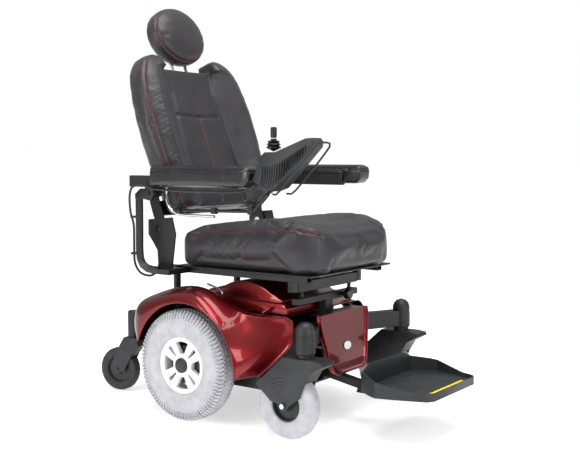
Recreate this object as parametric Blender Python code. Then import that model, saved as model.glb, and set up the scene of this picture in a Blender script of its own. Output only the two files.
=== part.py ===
"""Mid-wheel-drive power wheelchair, in metres, +Z up.

The chair faces -Y and the user's right hand, with the joystick, is at -X. Shapes are drawn in the
chair frame, whose origin is on the floor under the middle of the drive axle; the empty "chair" moves
that frame so that the origin of the part is under the middle of the whole chair.
"""

import math

import bmesh
import bpy
import numpy as np
from mathutils import Matrix, Vector

# ---- driving dimensions -------------------------------------------------------------------------
FRAME_SHIFT = 0.12335  # from the drive axle to the middle of the chair's length
GAP = 0.0003  # clearance between pieces that touch

DRIVE_R, DRIVE_W, DRIVE_X = 0.178, 0.076, 0.310  # 14 inch drive tyre
DRIVE_RIM_R = 0.0900
FRONT_R, FRONT_W = 0.103, 0.050  # 8 inch front caster
FRONT_RIM_R = 0.0500
FRONT_SWIVEL = (0.283, -0.440)
FRONT_TRAIL = 0.057
REAR_R, REAR_W = 0.077, 0.038  # 6 inch rear caster
REAR_RIM_R = 0.0500
REAR_SWIVEL = (0.150, 0.400)
REAR_TRAIL = 0.060
REAR_YAW = math.radians(10)

ARCH_Y, ARCH_Z, ARCH_R = -0.012, 0.172, 0.208  # wheel arch of the shroud
LIP_X = 0.345
SHELL = 0.004
DECK_Z = 0.345

TRAY_Z = 0.115
RAIL_X = 0.2175

TILT_Y, TILT_Z = -0.323, 0.434  # the seat tips forward about the front cross bar
SEAT_HALF_W, SEAT_REAR, SEAT_FRONT = 0.255, 0.100, -0.462
SEAT_BOTTOM = 0.4815
SEAT_TOP = ((0.100, 0.592), (0.040, 0.606), (-0.040, 0.618), (-0.110, 0.627), (-0.180, 0.635),
            (-0.250, 0.642), (-0.310, 0.643), (-0.370, 0.640), (-0.420, 0.633), (-0.462, 0.622))

RECLINE_Y, RECLINE_Z = 0.161, 0.601
BACK_ANGLE = math.radians(20)

ARM_Y, ARM_Z = 0.153, 0.718  # flip-up axis of the arms
PAD_FRONT, PAD_REAR, PAD_BOTTOM, PAD_TOP = -0.280, 0.130, 0.742, 0.808
PAD_IN, PAD_OUT = 0.279, 0.345
TUBE_IN, TUBE_OUT, TUBE_BOTTOM, TUBE_TOP = 0.278, 0.300, 0.737, 0.775
POST_X, POST_Y, POST_R = 0.315, 0.201, 0.013

FOOT_HINGE_Y, FOOT_HINGE_Z = -0.528, 0.190
STICK_X, STICK_Y, STICK_Z = -0.300, -0.338, 0.851
LEAD_R = 0.00375

SIDES = (("right", -1), ("left", 1))


# ---- helpers ------------------------------------------------------------------------------------
def clear_scene():
    for old in list(bpy.data.objects):
        bpy.data.objects.remove(old, do_unlink=True)


def paint(name, colour, roughness, metallic=0.0):
    """A plain material with the finish of one kind of piece."""
    made = bpy.data.materials.new(name)
    made.use_nodes = True
    shader = made.node_tree.nodes["Principled BSDF"]
    shader.inputs["Base Color"].default_value = (*colour, 1.0)
    shader.inputs["Roughness"].default_value = roughness
    shader.inputs["Metallic"].default_value = metallic
    return made


clear_scene()
CHAIR = bpy.data.objects.new("chair", None)
CHAIR.location = (0, FRAME_SHIFT, 0)
bpy.context.scene.collection.objects.link(CHAIR)

RED = paint("candy_red_paint", (0.27, 0.008, 0.014), 0.18, 0.5)
FRAME_BLACK = paint("black_powder_coat", (0.008, 0.009, 0.010), 0.45)
PLASTIC = paint("dark_moulded_plastic", (0.045, 0.048, 0.052), 0.5)
TYRE_GREY = paint("grey_tyre_rubber", (0.68, 0.68, 0.70), 0.7)
TYRE_BLACK = paint("black_tyre_rubber", (0.035, 0.031, 0.031), 0.7)
RIM_WHITE = paint("white_rim_plastic", (0.80, 0.80, 0.80), 0.35)
VINYL = paint("black_vinyl", (0.065, 0.060, 0.068), 0.5)
PAD_BLACK = paint("gloss_black_foam", (0.025, 0.020, 0.020), 0.25)
CHROME = paint("chromed_steel", (0.75, 0.75, 0.75), 0.15, 1.0)
STEEL = paint("bright_steel", (0.60, 0.60, 0.60), 0.3, 1.0)
CAST = paint("cast_aluminium", (0.40, 0.40, 0.42), 0.5, 1.0)
AMBER = paint("amber_button", (0.80, 0.45, 0.02), 0.4)
BADGE = paint("plain_badge", (0.85, 0.85, 0.85), 0.3)


def smooth(mesh, angle=35):
    mesh.shade_smooth()
    mesh.set_sharp_from_angle(angle=math.radians(angle))


def finish(name, shape, material, pivot=(0, 0, 0), turn=0.0):
    """Makes the bmesh, drawn in the chair frame, an object whose origin is on its joint's axis."""
    shape.transform(Matrix.Translation(-Vector(pivot)))
    bmesh.ops.remove_doubles(shape, verts=shape.verts, dist=1e-6)
    bmesh.ops.recalc_face_normals(shape, faces=shape.faces)
    mesh = bpy.data.meshes.new(name)
    shape.to_mesh(mesh)
    shape.free()
    smooth(mesh)
    mesh.materials.append(material)
    made = bpy.data.objects.new(name, mesh)
    bpy.context.scene.collection.objects.link(made)
    made.location = pivot
    made.rotation_euler = (0, 0, turn)
    made.parent = CHAIR
    return made


def block(low, high, bevel=0.0, segments=1):
    """A box between two corners, with its edges rounded."""
    shape = bmesh.new()
    bmesh.ops.create_cube(shape, size=1.0)
    size = [h - l for l, h in zip(low, high)]
    middle = [(h + l) / 2 for l, h in zip(low, high)]
    bmesh.ops.scale(shape, vec=size, verts=shape.verts)
    bmesh.ops.translate(shape, vec=middle, verts=shape.verts)
    if bevel:
        bmesh.ops.bevel(shape, geom=shape.edges[:], offset=bevel, segments=segments, profile=0.5,
                        affect="EDGES")
    return shape


def turned(profile, axis, centre, steps=32):
    """A closed profile of (along, radius) pairs spun about an axis ('X', 'Y' or 'Z') at centre."""
    shape = bmesh.new()
    points = [shape.verts.new((0, radius, along)) for along, radius in profile]
    edges = [shape.edges.new((points[i], points[(i + 1) % len(points)])) for i in range(len(points))]
    bmesh.ops.spin(shape, geom=points + edges, cent=(0, 0, 0), axis=(0, 0, 1), angle=math.tau,
                   steps=steps, use_merge=True)
    bmesh.ops.remove_doubles(shape, verts=shape.verts, dist=1e-6)
    loose = [edge for edge in shape.edges if not edge.link_faces]
    bmesh.ops.delete(shape, geom=loose, context="EDGES")
    flat = [face for face in shape.faces if face.calc_area() < 1e-12]
    bmesh.ops.delete(shape, geom=flat, context="FACES_ONLY")
    if axis == "X":
        shape.transform(Matrix.Rotation(math.pi / 2, 4, "Y"))
    if axis == "Y":
        shape.transform(Matrix.Rotation(-math.pi / 2, 4, "X"))
    shape.transform(Matrix.Translation(centre))
    return shape


def rod(start, end, radius, steps=16):
    """A solid round bar between two points."""
    start, end = Vector(start), Vector(end)
    run = end - start
    shape = bmesh.new()
    bmesh.ops.create_cone(shape, cap_ends=True, cap_tris=False, segments=steps, radius1=radius,
                          radius2=radius, depth=run.length)
    shape.transform(run.to_track_quat("Z", "Y").to_matrix().to_4x4())
    shape.transform(Matrix.Translation((start + end) / 2))
    return shape


def plate(outline, low, high, axis="X", bevel=0.0):
    """A flat outline pushed out along an axis. The outline is in the other two axes, in order."""
    shape = bmesh.new()
    spots = []
    for first, second in outline:
        spot = {"X": (low, first, second), "Y": (first, low, second), "Z": (first, second, low)}
        spots.append(shape.verts.new(spot[axis]))
    face = shape.faces.new(spots)
    step = {"X": (high - low, 0, 0), "Y": (0, high - low, 0), "Z": (0, 0, high - low)}[axis]
    grown = bmesh.ops.extrude_face_region(shape, geom=[face])
    moved = [item for item in grown["geom"] if isinstance(item, bmesh.types.BMVert)]
    bmesh.ops.translate(shape, vec=step, verts=moved)
    bmesh.ops.recalc_face_normals(shape, faces=shape.faces)
    if bevel:
        rims = [edge for edge in shape.edges
                if abs((edge.verts[0].co - edge.verts[1].co).dot(Vector(step))) < 1e-9]
        bmesh.ops.bevel(shape, geom=rims, offset=bevel, segments=2, profile=0.5, affect="EDGES")
    return shape


def hollow_bar(start, end, width, height, wall):
    """A rectangular steel tube with open ends; its width is level and its height is upright."""
    start, end = Vector(start), Vector(end)
    run = end - start
    shape = bmesh.new()
    rings = []
    for inset in (0.0, wall):
        half_w, half_h = width / 2 - inset, height / 2 - inset
        corners = ((-half_w, -half_h), (half_w, -half_h), (half_w, half_h), (-half_w, half_h))
        for along in (0.0, run.length):
            rings.append([shape.verts.new((along, across, up)) for across, up in corners])
    outer_a, outer_b, inner_a, inner_b = rings
    for first, second in ((outer_a, outer_b), (inner_a, inner_b), (outer_a, inner_a),
                          (outer_b, inner_b)):
        for i in range(4):
            j = (i + 1) % 4
            shape.faces.new((first[i], first[j], second[j], second[i]))
    level = math.atan2(run.y, run.x)
    climb = math.atan2(run.z, math.hypot(run.x, run.y))
    shape.transform(Matrix.Rotation(-climb, 4, "Y"))
    shape.transform(Matrix.Rotation(level, 4, "Z"))
    shape.transform(Matrix.Translation(start))
    return shape


def arc(centre, radius, start, end, count):
    """Points on a circle, with the angles in degrees."""
    angles = [math.radians(start + (end - start) * i / (count - 1)) for i in range(count)]
    return [(centre[0] + radius * math.cos(a), centre[1] + radius * math.sin(a)) for a in angles]


def smooth_route(points, count):
    """Even points along a Catmull-Rom curve through the given ones."""
    spots = [Vector(p) for p in points]
    spots = [2 * spots[0] - spots[1]] + spots + [2 * spots[-1] - spots[-2]]
    fine = []
    for a, b, c, d in zip(spots, spots[1:], spots[2:], spots[3:]):
        for i in range(20):
            t = i / 20
            fine.append(0.5 * (2 * b + (c - a) * t + (2 * a - 5 * b + 4 * c - d) * t * t
                               + (3 * b - 3 * c + d - a) * t ** 3))
    fine.append(spots[-2])
    lengths = [0.0]
    for a, b in zip(fine, fine[1:]):
        lengths.append(lengths[-1] + (b - a).length)
    even = []
    for i in range(count):
        want = lengths[-1] * i / (count - 1)
        k = max(j for j in range(len(lengths)) if lengths[j] <= want + 1e-12)
        k = min(k, len(fine) - 2)
        part = (want - lengths[k]) / (lengths[k + 1] - lengths[k])
        even.append(fine[k].lerp(fine[k + 1], part))
    return even


def sweep(points, radius, steps=10, count=24):
    """A solid round bar or lead along a smooth route."""
    route = smooth_route(points, count)
    shape = bmesh.new()
    rings = []
    across = None
    for i, spot in enumerate(route):
        ahead = route[min(i + 1, count - 1)] - route[max(i - 1, 0)]
        ahead.normalize()
        if across is None:
            across = ahead.orthogonal().normalized()
        across = (across - ahead * across.dot(ahead)).normalized()
        beside = ahead.cross(across)
        angles = [math.tau * k / steps for k in range(steps)]
        rings.append([shape.verts.new(spot + (across * math.cos(a) + beside * math.sin(a)) * radius)
                      for a in angles])
    for low, high in zip(rings, rings[1:]):
        for k in range(steps):
            j = (k + 1) % steps
            shape.faces.new((low[k], low[j], high[j], high[k]))
    shape.faces.new(rings[0])
    shape.faces.new(rings[-1])
    return shape


def combine(target, tools, operation):
    """Cuts or joins helper shapes, as Booleans that stay on the piece."""
    for tool in tools:
        label = f"{target.name}_tool_{len(target.modifiers)}"
        helper = finish(label, tool, target.data.materials[0], tuple(target.location),
                        target.rotation_euler.z)
        helper.hide_render = True
        helper.display_type = "WIRE"
        step = target.modifiers.new(label, "BOOLEAN")
        step.operation = operation
        step.object = helper
        step.solver = "EXACT"
    return target


def weld(name, shapes, material, pivot=(0, 0, 0), turn=0.0):
    """Several overlapping shapes joined into one piece."""
    return combine(finish(name, shapes[0], material, pivot, turn), shapes[1:], "UNION")


def merged(shapes):
    """Shapes that don't touch, put together in one helper."""
    whole = bmesh.new()
    for shape in shapes:
        mesh = bpy.data.meshes.new("helper")
        shape.to_mesh(mesh)
        shape.free()
        whole.from_mesh(mesh)
    return whole


def mirrored(shape, side):
    """A shape drawn at +X, turned over for the chair's right side."""
    if side < 0:
        bmesh.ops.scale(shape, vec=(-1, 1, 1), verts=shape.verts)
        bmesh.ops.reverse_faces(shape, faces=shape.faces)
    return shape


# ---- base frame ---------------------------------------------------------------------------------
def base_frame():
    """The welded chassis: tray, rails, rear plate, rear caster arms and the seat's rear supports."""
    tray = [(-0.2015, 0.2500), (-0.2015, -0.2900), (-0.1450, -0.3260), (0.1450, -0.3260),
            (0.2015, -0.2900), (0.2015, 0.2500)]
    shapes = [plate(tray, TRAY_Z, TRAY_Z + 0.005, "Z")]
    for _, side in SIDES:
        shapes.append(hollow_bar((side * RAIL_X, -0.2740, 0.1345), (side * RAIL_X, 0.2500, 0.1345),
                                 0.035, 0.040, 0.003))
    shapes.append(block((-0.2340, 0.2490, 0.1165), (0.2340, 0.2555, 0.2800)))
    for _, side in SIDES:
        shapes.append(rod((side * 0.160, 0.180, TRAY_Z + 0.003), (side * 0.160, 0.180, 0.4415),
                          0.0125, 12))
        shapes.append(rear_arm(side * REAR_SWIVEL[0]))
        barrel = [(0.2003, 0), (0.2003, 0.022), (0.2860, 0.022), (0.2910, 0.018), (0.2910, 0)]
        shapes.append(turned(barrel, "Z", (side * REAR_SWIVEL[0], REAR_SWIVEL[1], 0), 20))
    shapes.append(block((-0.180, 0.167, 0.4400), (0.180, 0.193, 0.4560), 0.001))
    weld("chassis", shapes, FRAME_BLACK)


def rear_arm(x):
    outline = [(0.2535, 0.205), (0.390, 0.213), (0.390, 0.288), (0.340, 0.284), (0.300, 0.275),
               (0.2535, 0.272)]
    return plate(outline, x - 0.015, x + 0.015, bevel=0.002)


def front_frame():
    """Front upright and cross beam with the caster arms, and the post and bar under the seat."""
    shapes = [block((-0.1600, -0.3725, 0.2600), (0.1600, -0.3325, 0.3190), 0.002),
              block((-0.0300, -0.3335, 0.1210), (0.0300, -0.3265, 0.3180)),
              block((-0.0200, -0.3345, 0.2700), (0.0200, -0.3075, 0.3800)),
              block((-0.1700, -0.3355, 0.3780), (0.1700, -0.3090, 0.3980), 0.001)]
    for _, side in SIDES:
        swivel = Vector((side * FRONT_SWIVEL[0], FRONT_SWIVEL[1], 0.289))
        inner = Vector((side * 0.150, -0.3755, 0.289))
        bar = block((0, -0.020, -0.025), ((swivel - inner).length * 0.92, 0.020, 0.029), 0.002)
        bar.transform(Matrix.Rotation(math.atan2(swivel.y - inner.y, swivel.x - inner.x), 4, "Z"))
        bar.transform(Matrix.Translation(inner))
        shapes.append(bar)
        barrel = [(0.2625, 0), (0.2625, 0.030), (0.2975, 0.030), (0.3217, 0.0285), (0.3217, 0)]
        shapes.append(turned(barrel, "Z", (swivel.x, swivel.y, 0), 24))
    weld("front_frame", shapes, FRAME_BLACK)


def batteries_and_drive():
    for name, low, high in (("battery_front", -0.215, -0.085), ("battery_rear", -0.080, 0.050)):
        case = block((-0.0975, low, TRAY_Z + 0.005 + GAP), (0.0975, high, 0.278), 0.004)
        finish(name, case, PLASTIC)
    controller = block((-0.070, 0.070, TRAY_Z + 0.005 + GAP), (0.070, 0.165, 0.180), 0.004)
    finish("power_controller", controller, CAST)
    for name, side in SIDES:
        housing = [(0.110, 0.0), (0.110, 0.040), (0.114, 0.044), (0.1985, 0.044), (0.1985, 0.0215),
                   (0.2365, 0.0215), (0.2365, 0.056), (0.2575, 0.056), (0.2575, 0.0)]
        flank = [(-0.205, 0.158), (0.168, 0.158), (0.180, 0.235), (0.150, 0.298), (0.090, 0.338),
                 (0.010, 0.353), (-0.070, 0.345), (-0.135, 0.315), (-0.180, 0.265), (-0.205, 0.215)]
        weld(f"gear_motor_{name}", [mirrored(turned(housing, "X", (0, 0, DRIVE_R), 24), side),
                                    mirrored(plate(flank, 0.2568, 0.2608), side)], FRAME_BLACK)


def seat_supports():
    shapes = [block((-0.169, TILT_Y - 0.012, TILT_Z - 0.016), (0.169, TILT_Y + 0.012, TILT_Z + 0.016),
                    0.001)]
    for _, side in SIDES:
        shapes.append(rod((side * 0.160, TILT_Y, TILT_Z), (side * 0.1925, TILT_Y, TILT_Z), 0.006))
        bolt = [(0.3983, 0), (0.3983, 0.009), (0.404, 0.006), (0.412, 0.006), (0.4190, 0.009),
                (0.4190, 0)]
        shapes.append(turned(bolt, "Z", (side * 0.135, TILT_Y, 0), 12))
    weld("tilt_bar", shapes, FRAME_BLACK)
    profile = [(0.0, 0.0), (0.0, 0.006), (0.012, 0.006), (0.012, 0.014), (0.015, 0.017),
               (0.030, 0.017), (0.033, 0.013), (0.033, 0.0)]
    knob = turned(profile, "Z", (0, 0, 0), 16)
    knob.transform(Matrix.Rotation(math.pi / 2, 4, "X"))
    knob.transform(Matrix.Translation((0.077, -0.3358, 0.388)))
    finish("seat_release_knob", knob, PLASTIC, (0.077, -0.3358, 0.388))


# ---- body shroud --------------------------------------------------------------------------------
# One row for each place along the side: the arch angle of the lip, then the outer edge of the side
# and the edge of the deck beside the battery cover, each as (x, y, z). A row with no deck edge is on
# the nose or the lower edge.
SHROUD_ROWS = (
    (18, (0.290, 0.205, 0.228), (0.200, 0.205, 0.228)),
    (30, (0.288, 0.236, 0.275), (0.200, 0.236, 0.275)),
    (42, (0.288, 0.238, 0.325), (0.200, 0.238, 0.325)),
    (54, (0.287, 0.214, 0.361), (0.198, 0.214, 0.345)),
    (66, (0.285, 0.165, 0.384), (0.196, 0.165, 0.355)),
    (78, (0.282, 0.110, 0.404), (0.195, 0.110, 0.362)),
    (90, (0.278, 0.050, 0.421), (0.195, 0.050, 0.365)),
    (102, (0.273, -0.010, 0.428), (0.195, -0.010, 0.360)),
    (114, (0.268, -0.065, 0.419), (0.195, -0.065, 0.352)),
    (126, (0.262, -0.120, 0.390), (0.195, -0.120, DECK_Z)),
    (138, (0.256, -0.170, 0.360), (0.195, -0.170, DECK_Z)),
    (150, (0.250, -0.215, 0.348), (0.195, -0.215, DECK_Z)),
    (160, (0.235, -0.262, 0.346), (0.190, -0.262, DECK_Z)),
    (168, (0.212, -0.310, 0.346), (0.180, -0.300, DECK_Z)),
    (173, (0.204, -0.332, 0.335), None),
    (176, (0.204, -0.338, 0.300), None),
    (179, (0.212, -0.335, 0.262), None),
    (181, (0.240, -0.300, 0.213), None),
    (183, (0.272, -0.258, 0.165), None),
)
SIDE_STEPS = 5


def shroud_side_point(lip_angle, edge, share):
    """A point on the painted side, from the arch lip (share 0) to its outer edge (share 1)."""
    angle = math.radians(lip_angle)
    lip = Vector((LIP_X, ARCH_Y + ARCH_R * math.cos(angle), ARCH_Z + ARCH_R * math.sin(angle)))
    edge = Vector(edge)
    swell = min(1.0, max(0.0, (150 - lip_angle) / 40))
    along = share * (1 - swell) + math.sin(share * math.pi / 2) * swell
    inward = (1 - (1 - share) ** 1.6) * (1 - swell) + (1 - math.cos(share * math.pi / 2)) * swell
    point = lip.lerp(edge, along)
    point.x = lip.x + (edge.x - lip.x) * inward
    return point


def shroud_surface():
    shape = bmesh.new()
    halves = []
    for side in (1, -1):
        rows = []
        for lip_angle, edge, _ in SHROUD_ROWS:
            row = [shroud_side_point(lip_angle, edge, i / SIDE_STEPS) for i in range(SIDE_STEPS + 1)]
            rows.append([shape.verts.new((p.x * side, p.y, p.z)) for p in row])
        halves.append(rows)
        for low, high in zip(rows, rows[1:]):
            for i in range(SIDE_STEPS):
                shape.faces.new((low[i], low[i + 1], high[i + 1], high[i]))
    spine = []
    for rows in zip(*halves, SHROUD_ROWS):
        if rows[2][2] is None:
            break
        x, y, z = rows[2][2]
        beside = [shape.verts.new((x * side, y, z)) for side in (1, -1)]
        inner = [shape.verts.new((x * side * 0.5, y, z)) for side in (1, -1)]
        middle = shape.verts.new((0, y, z))
        spine.append([rows[0][-1], beside[0], inner[0], middle, inner[1], beside[1], rows[1][-1]])
    for low, high in zip(spine, spine[1:]):
        for i in range(len(low) - 1):
            shape.faces.new((low[i], low[i + 1], high[i + 1], high[i]))
    bmesh.ops.recalc_face_normals(shape, faces=shape.faces)
    upward = sum(face.normal.z * face.calc_area() for face in shape.faces)
    if upward < 0:
        bmesh.ops.reverse_faces(shape, faces=shape.faces)
    return shape


def body_shroud():
    shape = shroud_surface()
    bmesh.ops.solidify(shape, geom=shape.faces[:], thickness=SHELL)
    shroud = finish("body_shroud", shape, RED)
    holes = [rod((side * 0.160, 0.180, 0.30), (side * 0.160, 0.180, 0.45), 0.0145)
             for side in (1, -1)]
    combine(shroud, holes, "DIFFERENCE")


def battery_cover():
    """The raised cover behind the seat's front bar: a flange with an arched top over the batteries."""
    dome = [(0.046, 0.3980)] + arc((-0.108, 0.257), 0.180, 62, 124, 9)
    dome += [(-0.262, 0.3840), (-0.262, 0.3600), (0.046, 0.3720)]
    flange = [(0.062, 0.3695), (0.062, 0.3755), (0.052, 0.3855), (-0.268, 0.3800), (-0.290, 0.3780),
              (-0.302, 0.3660), (-0.302, 0.3480), (-0.120, 0.3480), (-0.050, 0.3560), (0.010, 0.3640)]
    cover = finish("battery_cover", plate(flange, -0.186, 0.186, bevel=0.002), RED)
    combine(cover, [plate(dome, -0.152, 0.152, bevel=0.005)], "UNION")


def front_cover():
    """The U-shaped painted panel between the front casters, with a rolled rim and side returns."""
    half = [(0.135, 0.345), (0.136, 0.325), (0.130, 0.290), (0.120, 0.257), (0.110, 0.215),
            (0.100, 0.180), (0.090, 0.165), (0.075, 0.157)]
    outline = half + [(-x, z) for x, z in reversed(half)]
    rings = []
    shape = bmesh.new()
    for scale, back in ((1.0, 0.014), (1.0, 0.004), (0.985, 0.0), (0.93, 0.0), (0.90, 0.004)):
        ring = []
        for x, z in outline:
            lean = -0.3925 - 0.130 * (0.345 - z)
            height = z if z > 0.34 else 0.290 + (z - 0.290) * scale
            ring.append(shape.verts.new((x * scale, lean + back, height)))
        rings.append(ring)
    count = len(outline)
    for low, high in zip(rings, rings[1:]):
        for i in range(count - 1):
            shape.faces.new((low[i], low[i + 1], high[i + 1], high[i]))
    last = rings[-1]
    for i in range(count // 2 - 1):
        shape.faces.new((last[i], last[i + 1], last[count - 2 - i], last[count - 1 - i]))
    roof = [shape.verts.new((0.116 * s, -0.3440, 0.345)) for s in (1, -1)]
    shape.faces.new((last[0], last[-1], roof[1], roof[0]))
    bmesh.ops.recalc_face_normals(shape, faces=shape.faces)
    forward = sum(face.normal.y * face.calc_area() for face in shape.faces)
    if forward > 0:
        bmesh.ops.reverse_faces(shape, faces=shape.faces)
    bmesh.ops.solidify(shape, geom=shape.faces[:], thickness=0.003)
    finish("front_cover", shape, RED)


def freewheel_levers():
    for name, side in SIDES:
        points = [(0.2295, -0.075, 0.391), (0.2300, -0.078, 0.406), (0.2310, -0.060, 0.417),
                  (0.2330, -0.020, 0.428)]
        lever = sweep([(x * side, y, z) for x, y, z in points], 0.0035, 8, 10)
        finish(f"freewheel_lever_{name}", lever, CHROME, (side * 0.2295, -0.075, 0.391))


# ---- wheels -------------------------------------------------------------------------------------
def tyre_profile(radius, width, inner):
    half = width / 2
    shoulder = radius - inner
    return [(-half * 0.80, inner), (-half, inner + shoulder * 0.22), (-half, inner + shoulder * 0.62),
            (-half * 0.84, inner + shoulder * 0.88), (-half * 0.42, radius), (half * 0.42, radius),
            (half * 0.84, inner + shoulder * 0.88), (half, inner + shoulder * 0.62),
            (half, inner + shoulder * 0.22), (half * 0.80, inner)]


def drive_wheels():
    axle = (0, 0, DRIVE_R)
    for name, side in SIDES:
        pivot = (side * DRIVE_X, 0, DRIVE_R)
        tyre = turned(tyre_profile(DRIVE_R, DRIVE_W, DRIVE_RIM_R + GAP), "X", pivot, 40)
        finish(f"drive_tyre_{name}", tyre, TYRE_GREY, pivot)
        profile = [(0.2622, 0.0), (0.2622, 0.0300), (0.3170, 0.0300), (0.3180, 0.0360),
                   (0.3240, 0.0790), (0.2805, 0.0840), (0.2805, 0.0900), (0.3395, 0.0900),
                   (0.3395, 0.0840), (0.3360, 0.0800), (0.3345, 0.0290), (0.3362, 0.0260),
                   (0.3362, 0.0)]
        rim = finish(f"drive_rim_{name}", mirrored(turned(profile, "X", axle, 32), side), RIM_WHITE,
                     pivot)
        combine(rim, [rim_windows(side)], "DIFFERENCE")
        cap = [(0.3366, 0.0), (0.3366, 0.0240), (0.3430, 0.0230), (0.3470, 0.0160), (0.3470, 0.0)]
        finish(f"hub_cap_{name}", mirrored(turned(cap, "X", axle, 24), side), PLASTIC, pivot)


def rim_windows(side):
    """The openings between the spokes: four wide wedges and four narrow slots, in turn."""
    tools = []
    for i in range(8):
        wide = i % 2 == 0
        middle = 45 * i
        half_out, half_in = (20, 14) if wide else (5.5, 5)
        outline = arc((0, DRIVE_R), 0.0765, middle - half_out, middle + half_out, 4 if wide else 2)
        outline += arc((0, DRIVE_R), 0.0380, middle + half_in, middle - half_in, 2)
        tools.append(mirrored(plate(outline, 0.305, 0.345), side))
    return merged(tools)


def caster_wheel(name, prefix, centre, radius, width, rim_r, turn_about, turn, tyre_paint):
    """Tyre and rim of one caster, which may stand turned about its swivel."""
    profile = tyre_profile(radius, width, rim_r + GAP)
    half = width / 2 * 0.78
    rim = [(-half, 0.0052), (-half, 0.0150), (-half * 0.5, 0.0200), (-half * 0.5, rim_r - 0.007),
           (-half, rim_r - 0.004), (-half, rim_r), (half, rim_r), (half, rim_r - 0.004),
           (half * 0.5, rim_r - 0.007), (half * 0.5, 0.0200), (half, 0.0150), (half, 0.0052)]
    place = Matrix.Translation(turn_about) @ Matrix.Rotation(turn, 4, "Z")
    place = place @ Matrix.Translation(-Vector(turn_about))
    spot = place @ Vector(centre)
    for piece, outline, material, steps in (("tyre", profile, tyre_paint, 24), ("rim", rim, PLASTIC, 24)):
        made = finish(f"{prefix}_{piece}_{name}", turned(outline, "X", centre, steps), material, centre,
                      turn)
        made.location = spot


def axle_bolt(centre, reach, head):
    """A caster's axle, whose heads stand out beyond the fork."""
    end = reach + 0.0035
    profile = [(-end, 0), (-end, head), (-reach + 0.001, head), (-reach + 0.001, 0.0050),
               (reach - 0.001, 0.0050), (reach - 0.001, head), (end, head), (end, 0)]
    return turned(profile, "X", centre, 16)


def front_casters():
    swivel_x, swivel_y = FRONT_SWIVEL
    for name, side in SIDES:
        x = side * swivel_x
        cap = [(0.3220, 0.0), (0.3220, 0.0290), (0.3300, 0.0285), (0.3420, 0.0245), (0.3510, 0.0160),
               (0.3560, 0.0)]
        finish(f"caster_cap_{name}", turned(cap, "Z", (x, swivel_y, 0), 24), PLASTIC)
        wheel = (x, swivel_y + FRONT_TRAIL, FRONT_R)
        front_fork(name, (x, swivel_y, 0), wheel)
        caster_wheel(name, "front", wheel, FRONT_R, FRONT_W, FRONT_RIM_R, (x, swivel_y, 0), 0.0,
                     TYRE_GREY)


def front_fork(name, pivot, wheel):
    """Fork and mudguard in one moulding: a solid of the outer form less the room for the wheel."""
    outline = [(-0.380, 0.248), (-0.330, 0.203), (-0.283, 0.160), (-0.283, 0.154), (-0.335, 0.112)]
    outline += arc((wheel[1], wheel[2]), 0.0165, 10, -170, 9)
    outline += [(-0.440, 0.132), (-0.458, 0.175), (-0.480, 0.212), (-0.522, 0.236), (-0.518, 0.246),
                (-0.490, 0.2495)]
    fork = finish(f"front_fork_{name}",
                  plate(outline, pivot[0] - 0.0335, pivot[0] + 0.0335, bevel=0.002), PLASTIC, pivot)
    stem = turned([(0.238, 0), (0.238, 0.0240), (0.2622, 0.0240), (0.2622, 0)], "Z",
                  (pivot[0], pivot[1], 0), 24)
    room = plate(arc((wheel[1], wheel[2]), 0.1075, 0, 360, 33)[:-1], pivot[0] - 0.0275,
                 pivot[0] + 0.0275)
    combine(fork, [stem], "UNION")
    combine(fork, [room], "DIFFERENCE")
    combine(fork, [axle_bolt(wheel, 0.0335, 0.0085)], "UNION")


def rear_casters():
    swivel_x, swivel_y = REAR_SWIVEL
    for name, side in SIDES:
        x = side * swivel_x
        pivot = (x, swivel_y, 0)
        wheel = (x, swivel_y + REAR_TRAIL, REAR_R)
        legs = [(0.372, 0.1960), (0.366, 0.168), (0.392, 0.140), (0.430, 0.070)]
        legs += arc((wheel[1], wheel[2]), 0.0160, 215, 380, 8)
        legs += [(0.468, 0.130), (0.440, 0.178), (0.428, 0.1960)]
        fork = finish(f"rear_fork_{name}", plate(legs, x - 0.0255, x + 0.0255, bevel=0.0015), PLASTIC,
                      pivot, REAR_YAW)
        stem = turned([(0.190, 0), (0.190, 0.018), (0.2000, 0.018), (0.2000, 0)], "Z",
                      (x, swivel_y, 0), 20)
        room = plate(arc((wheel[1], wheel[2]), 0.0810, 0, 360, 29)[:-1], x - 0.0205, x + 0.0205)
        combine(fork, [stem], "UNION")
        combine(fork, [room], "DIFFERENCE")
        combine(fork, [axle_bolt(wheel, 0.0255, 0.0075)], "UNION")
        caster_wheel(name, "rear", wheel, REAR_R, REAR_W, REAR_RIM_R, pivot, REAR_YAW, TYRE_BLACK)


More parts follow.
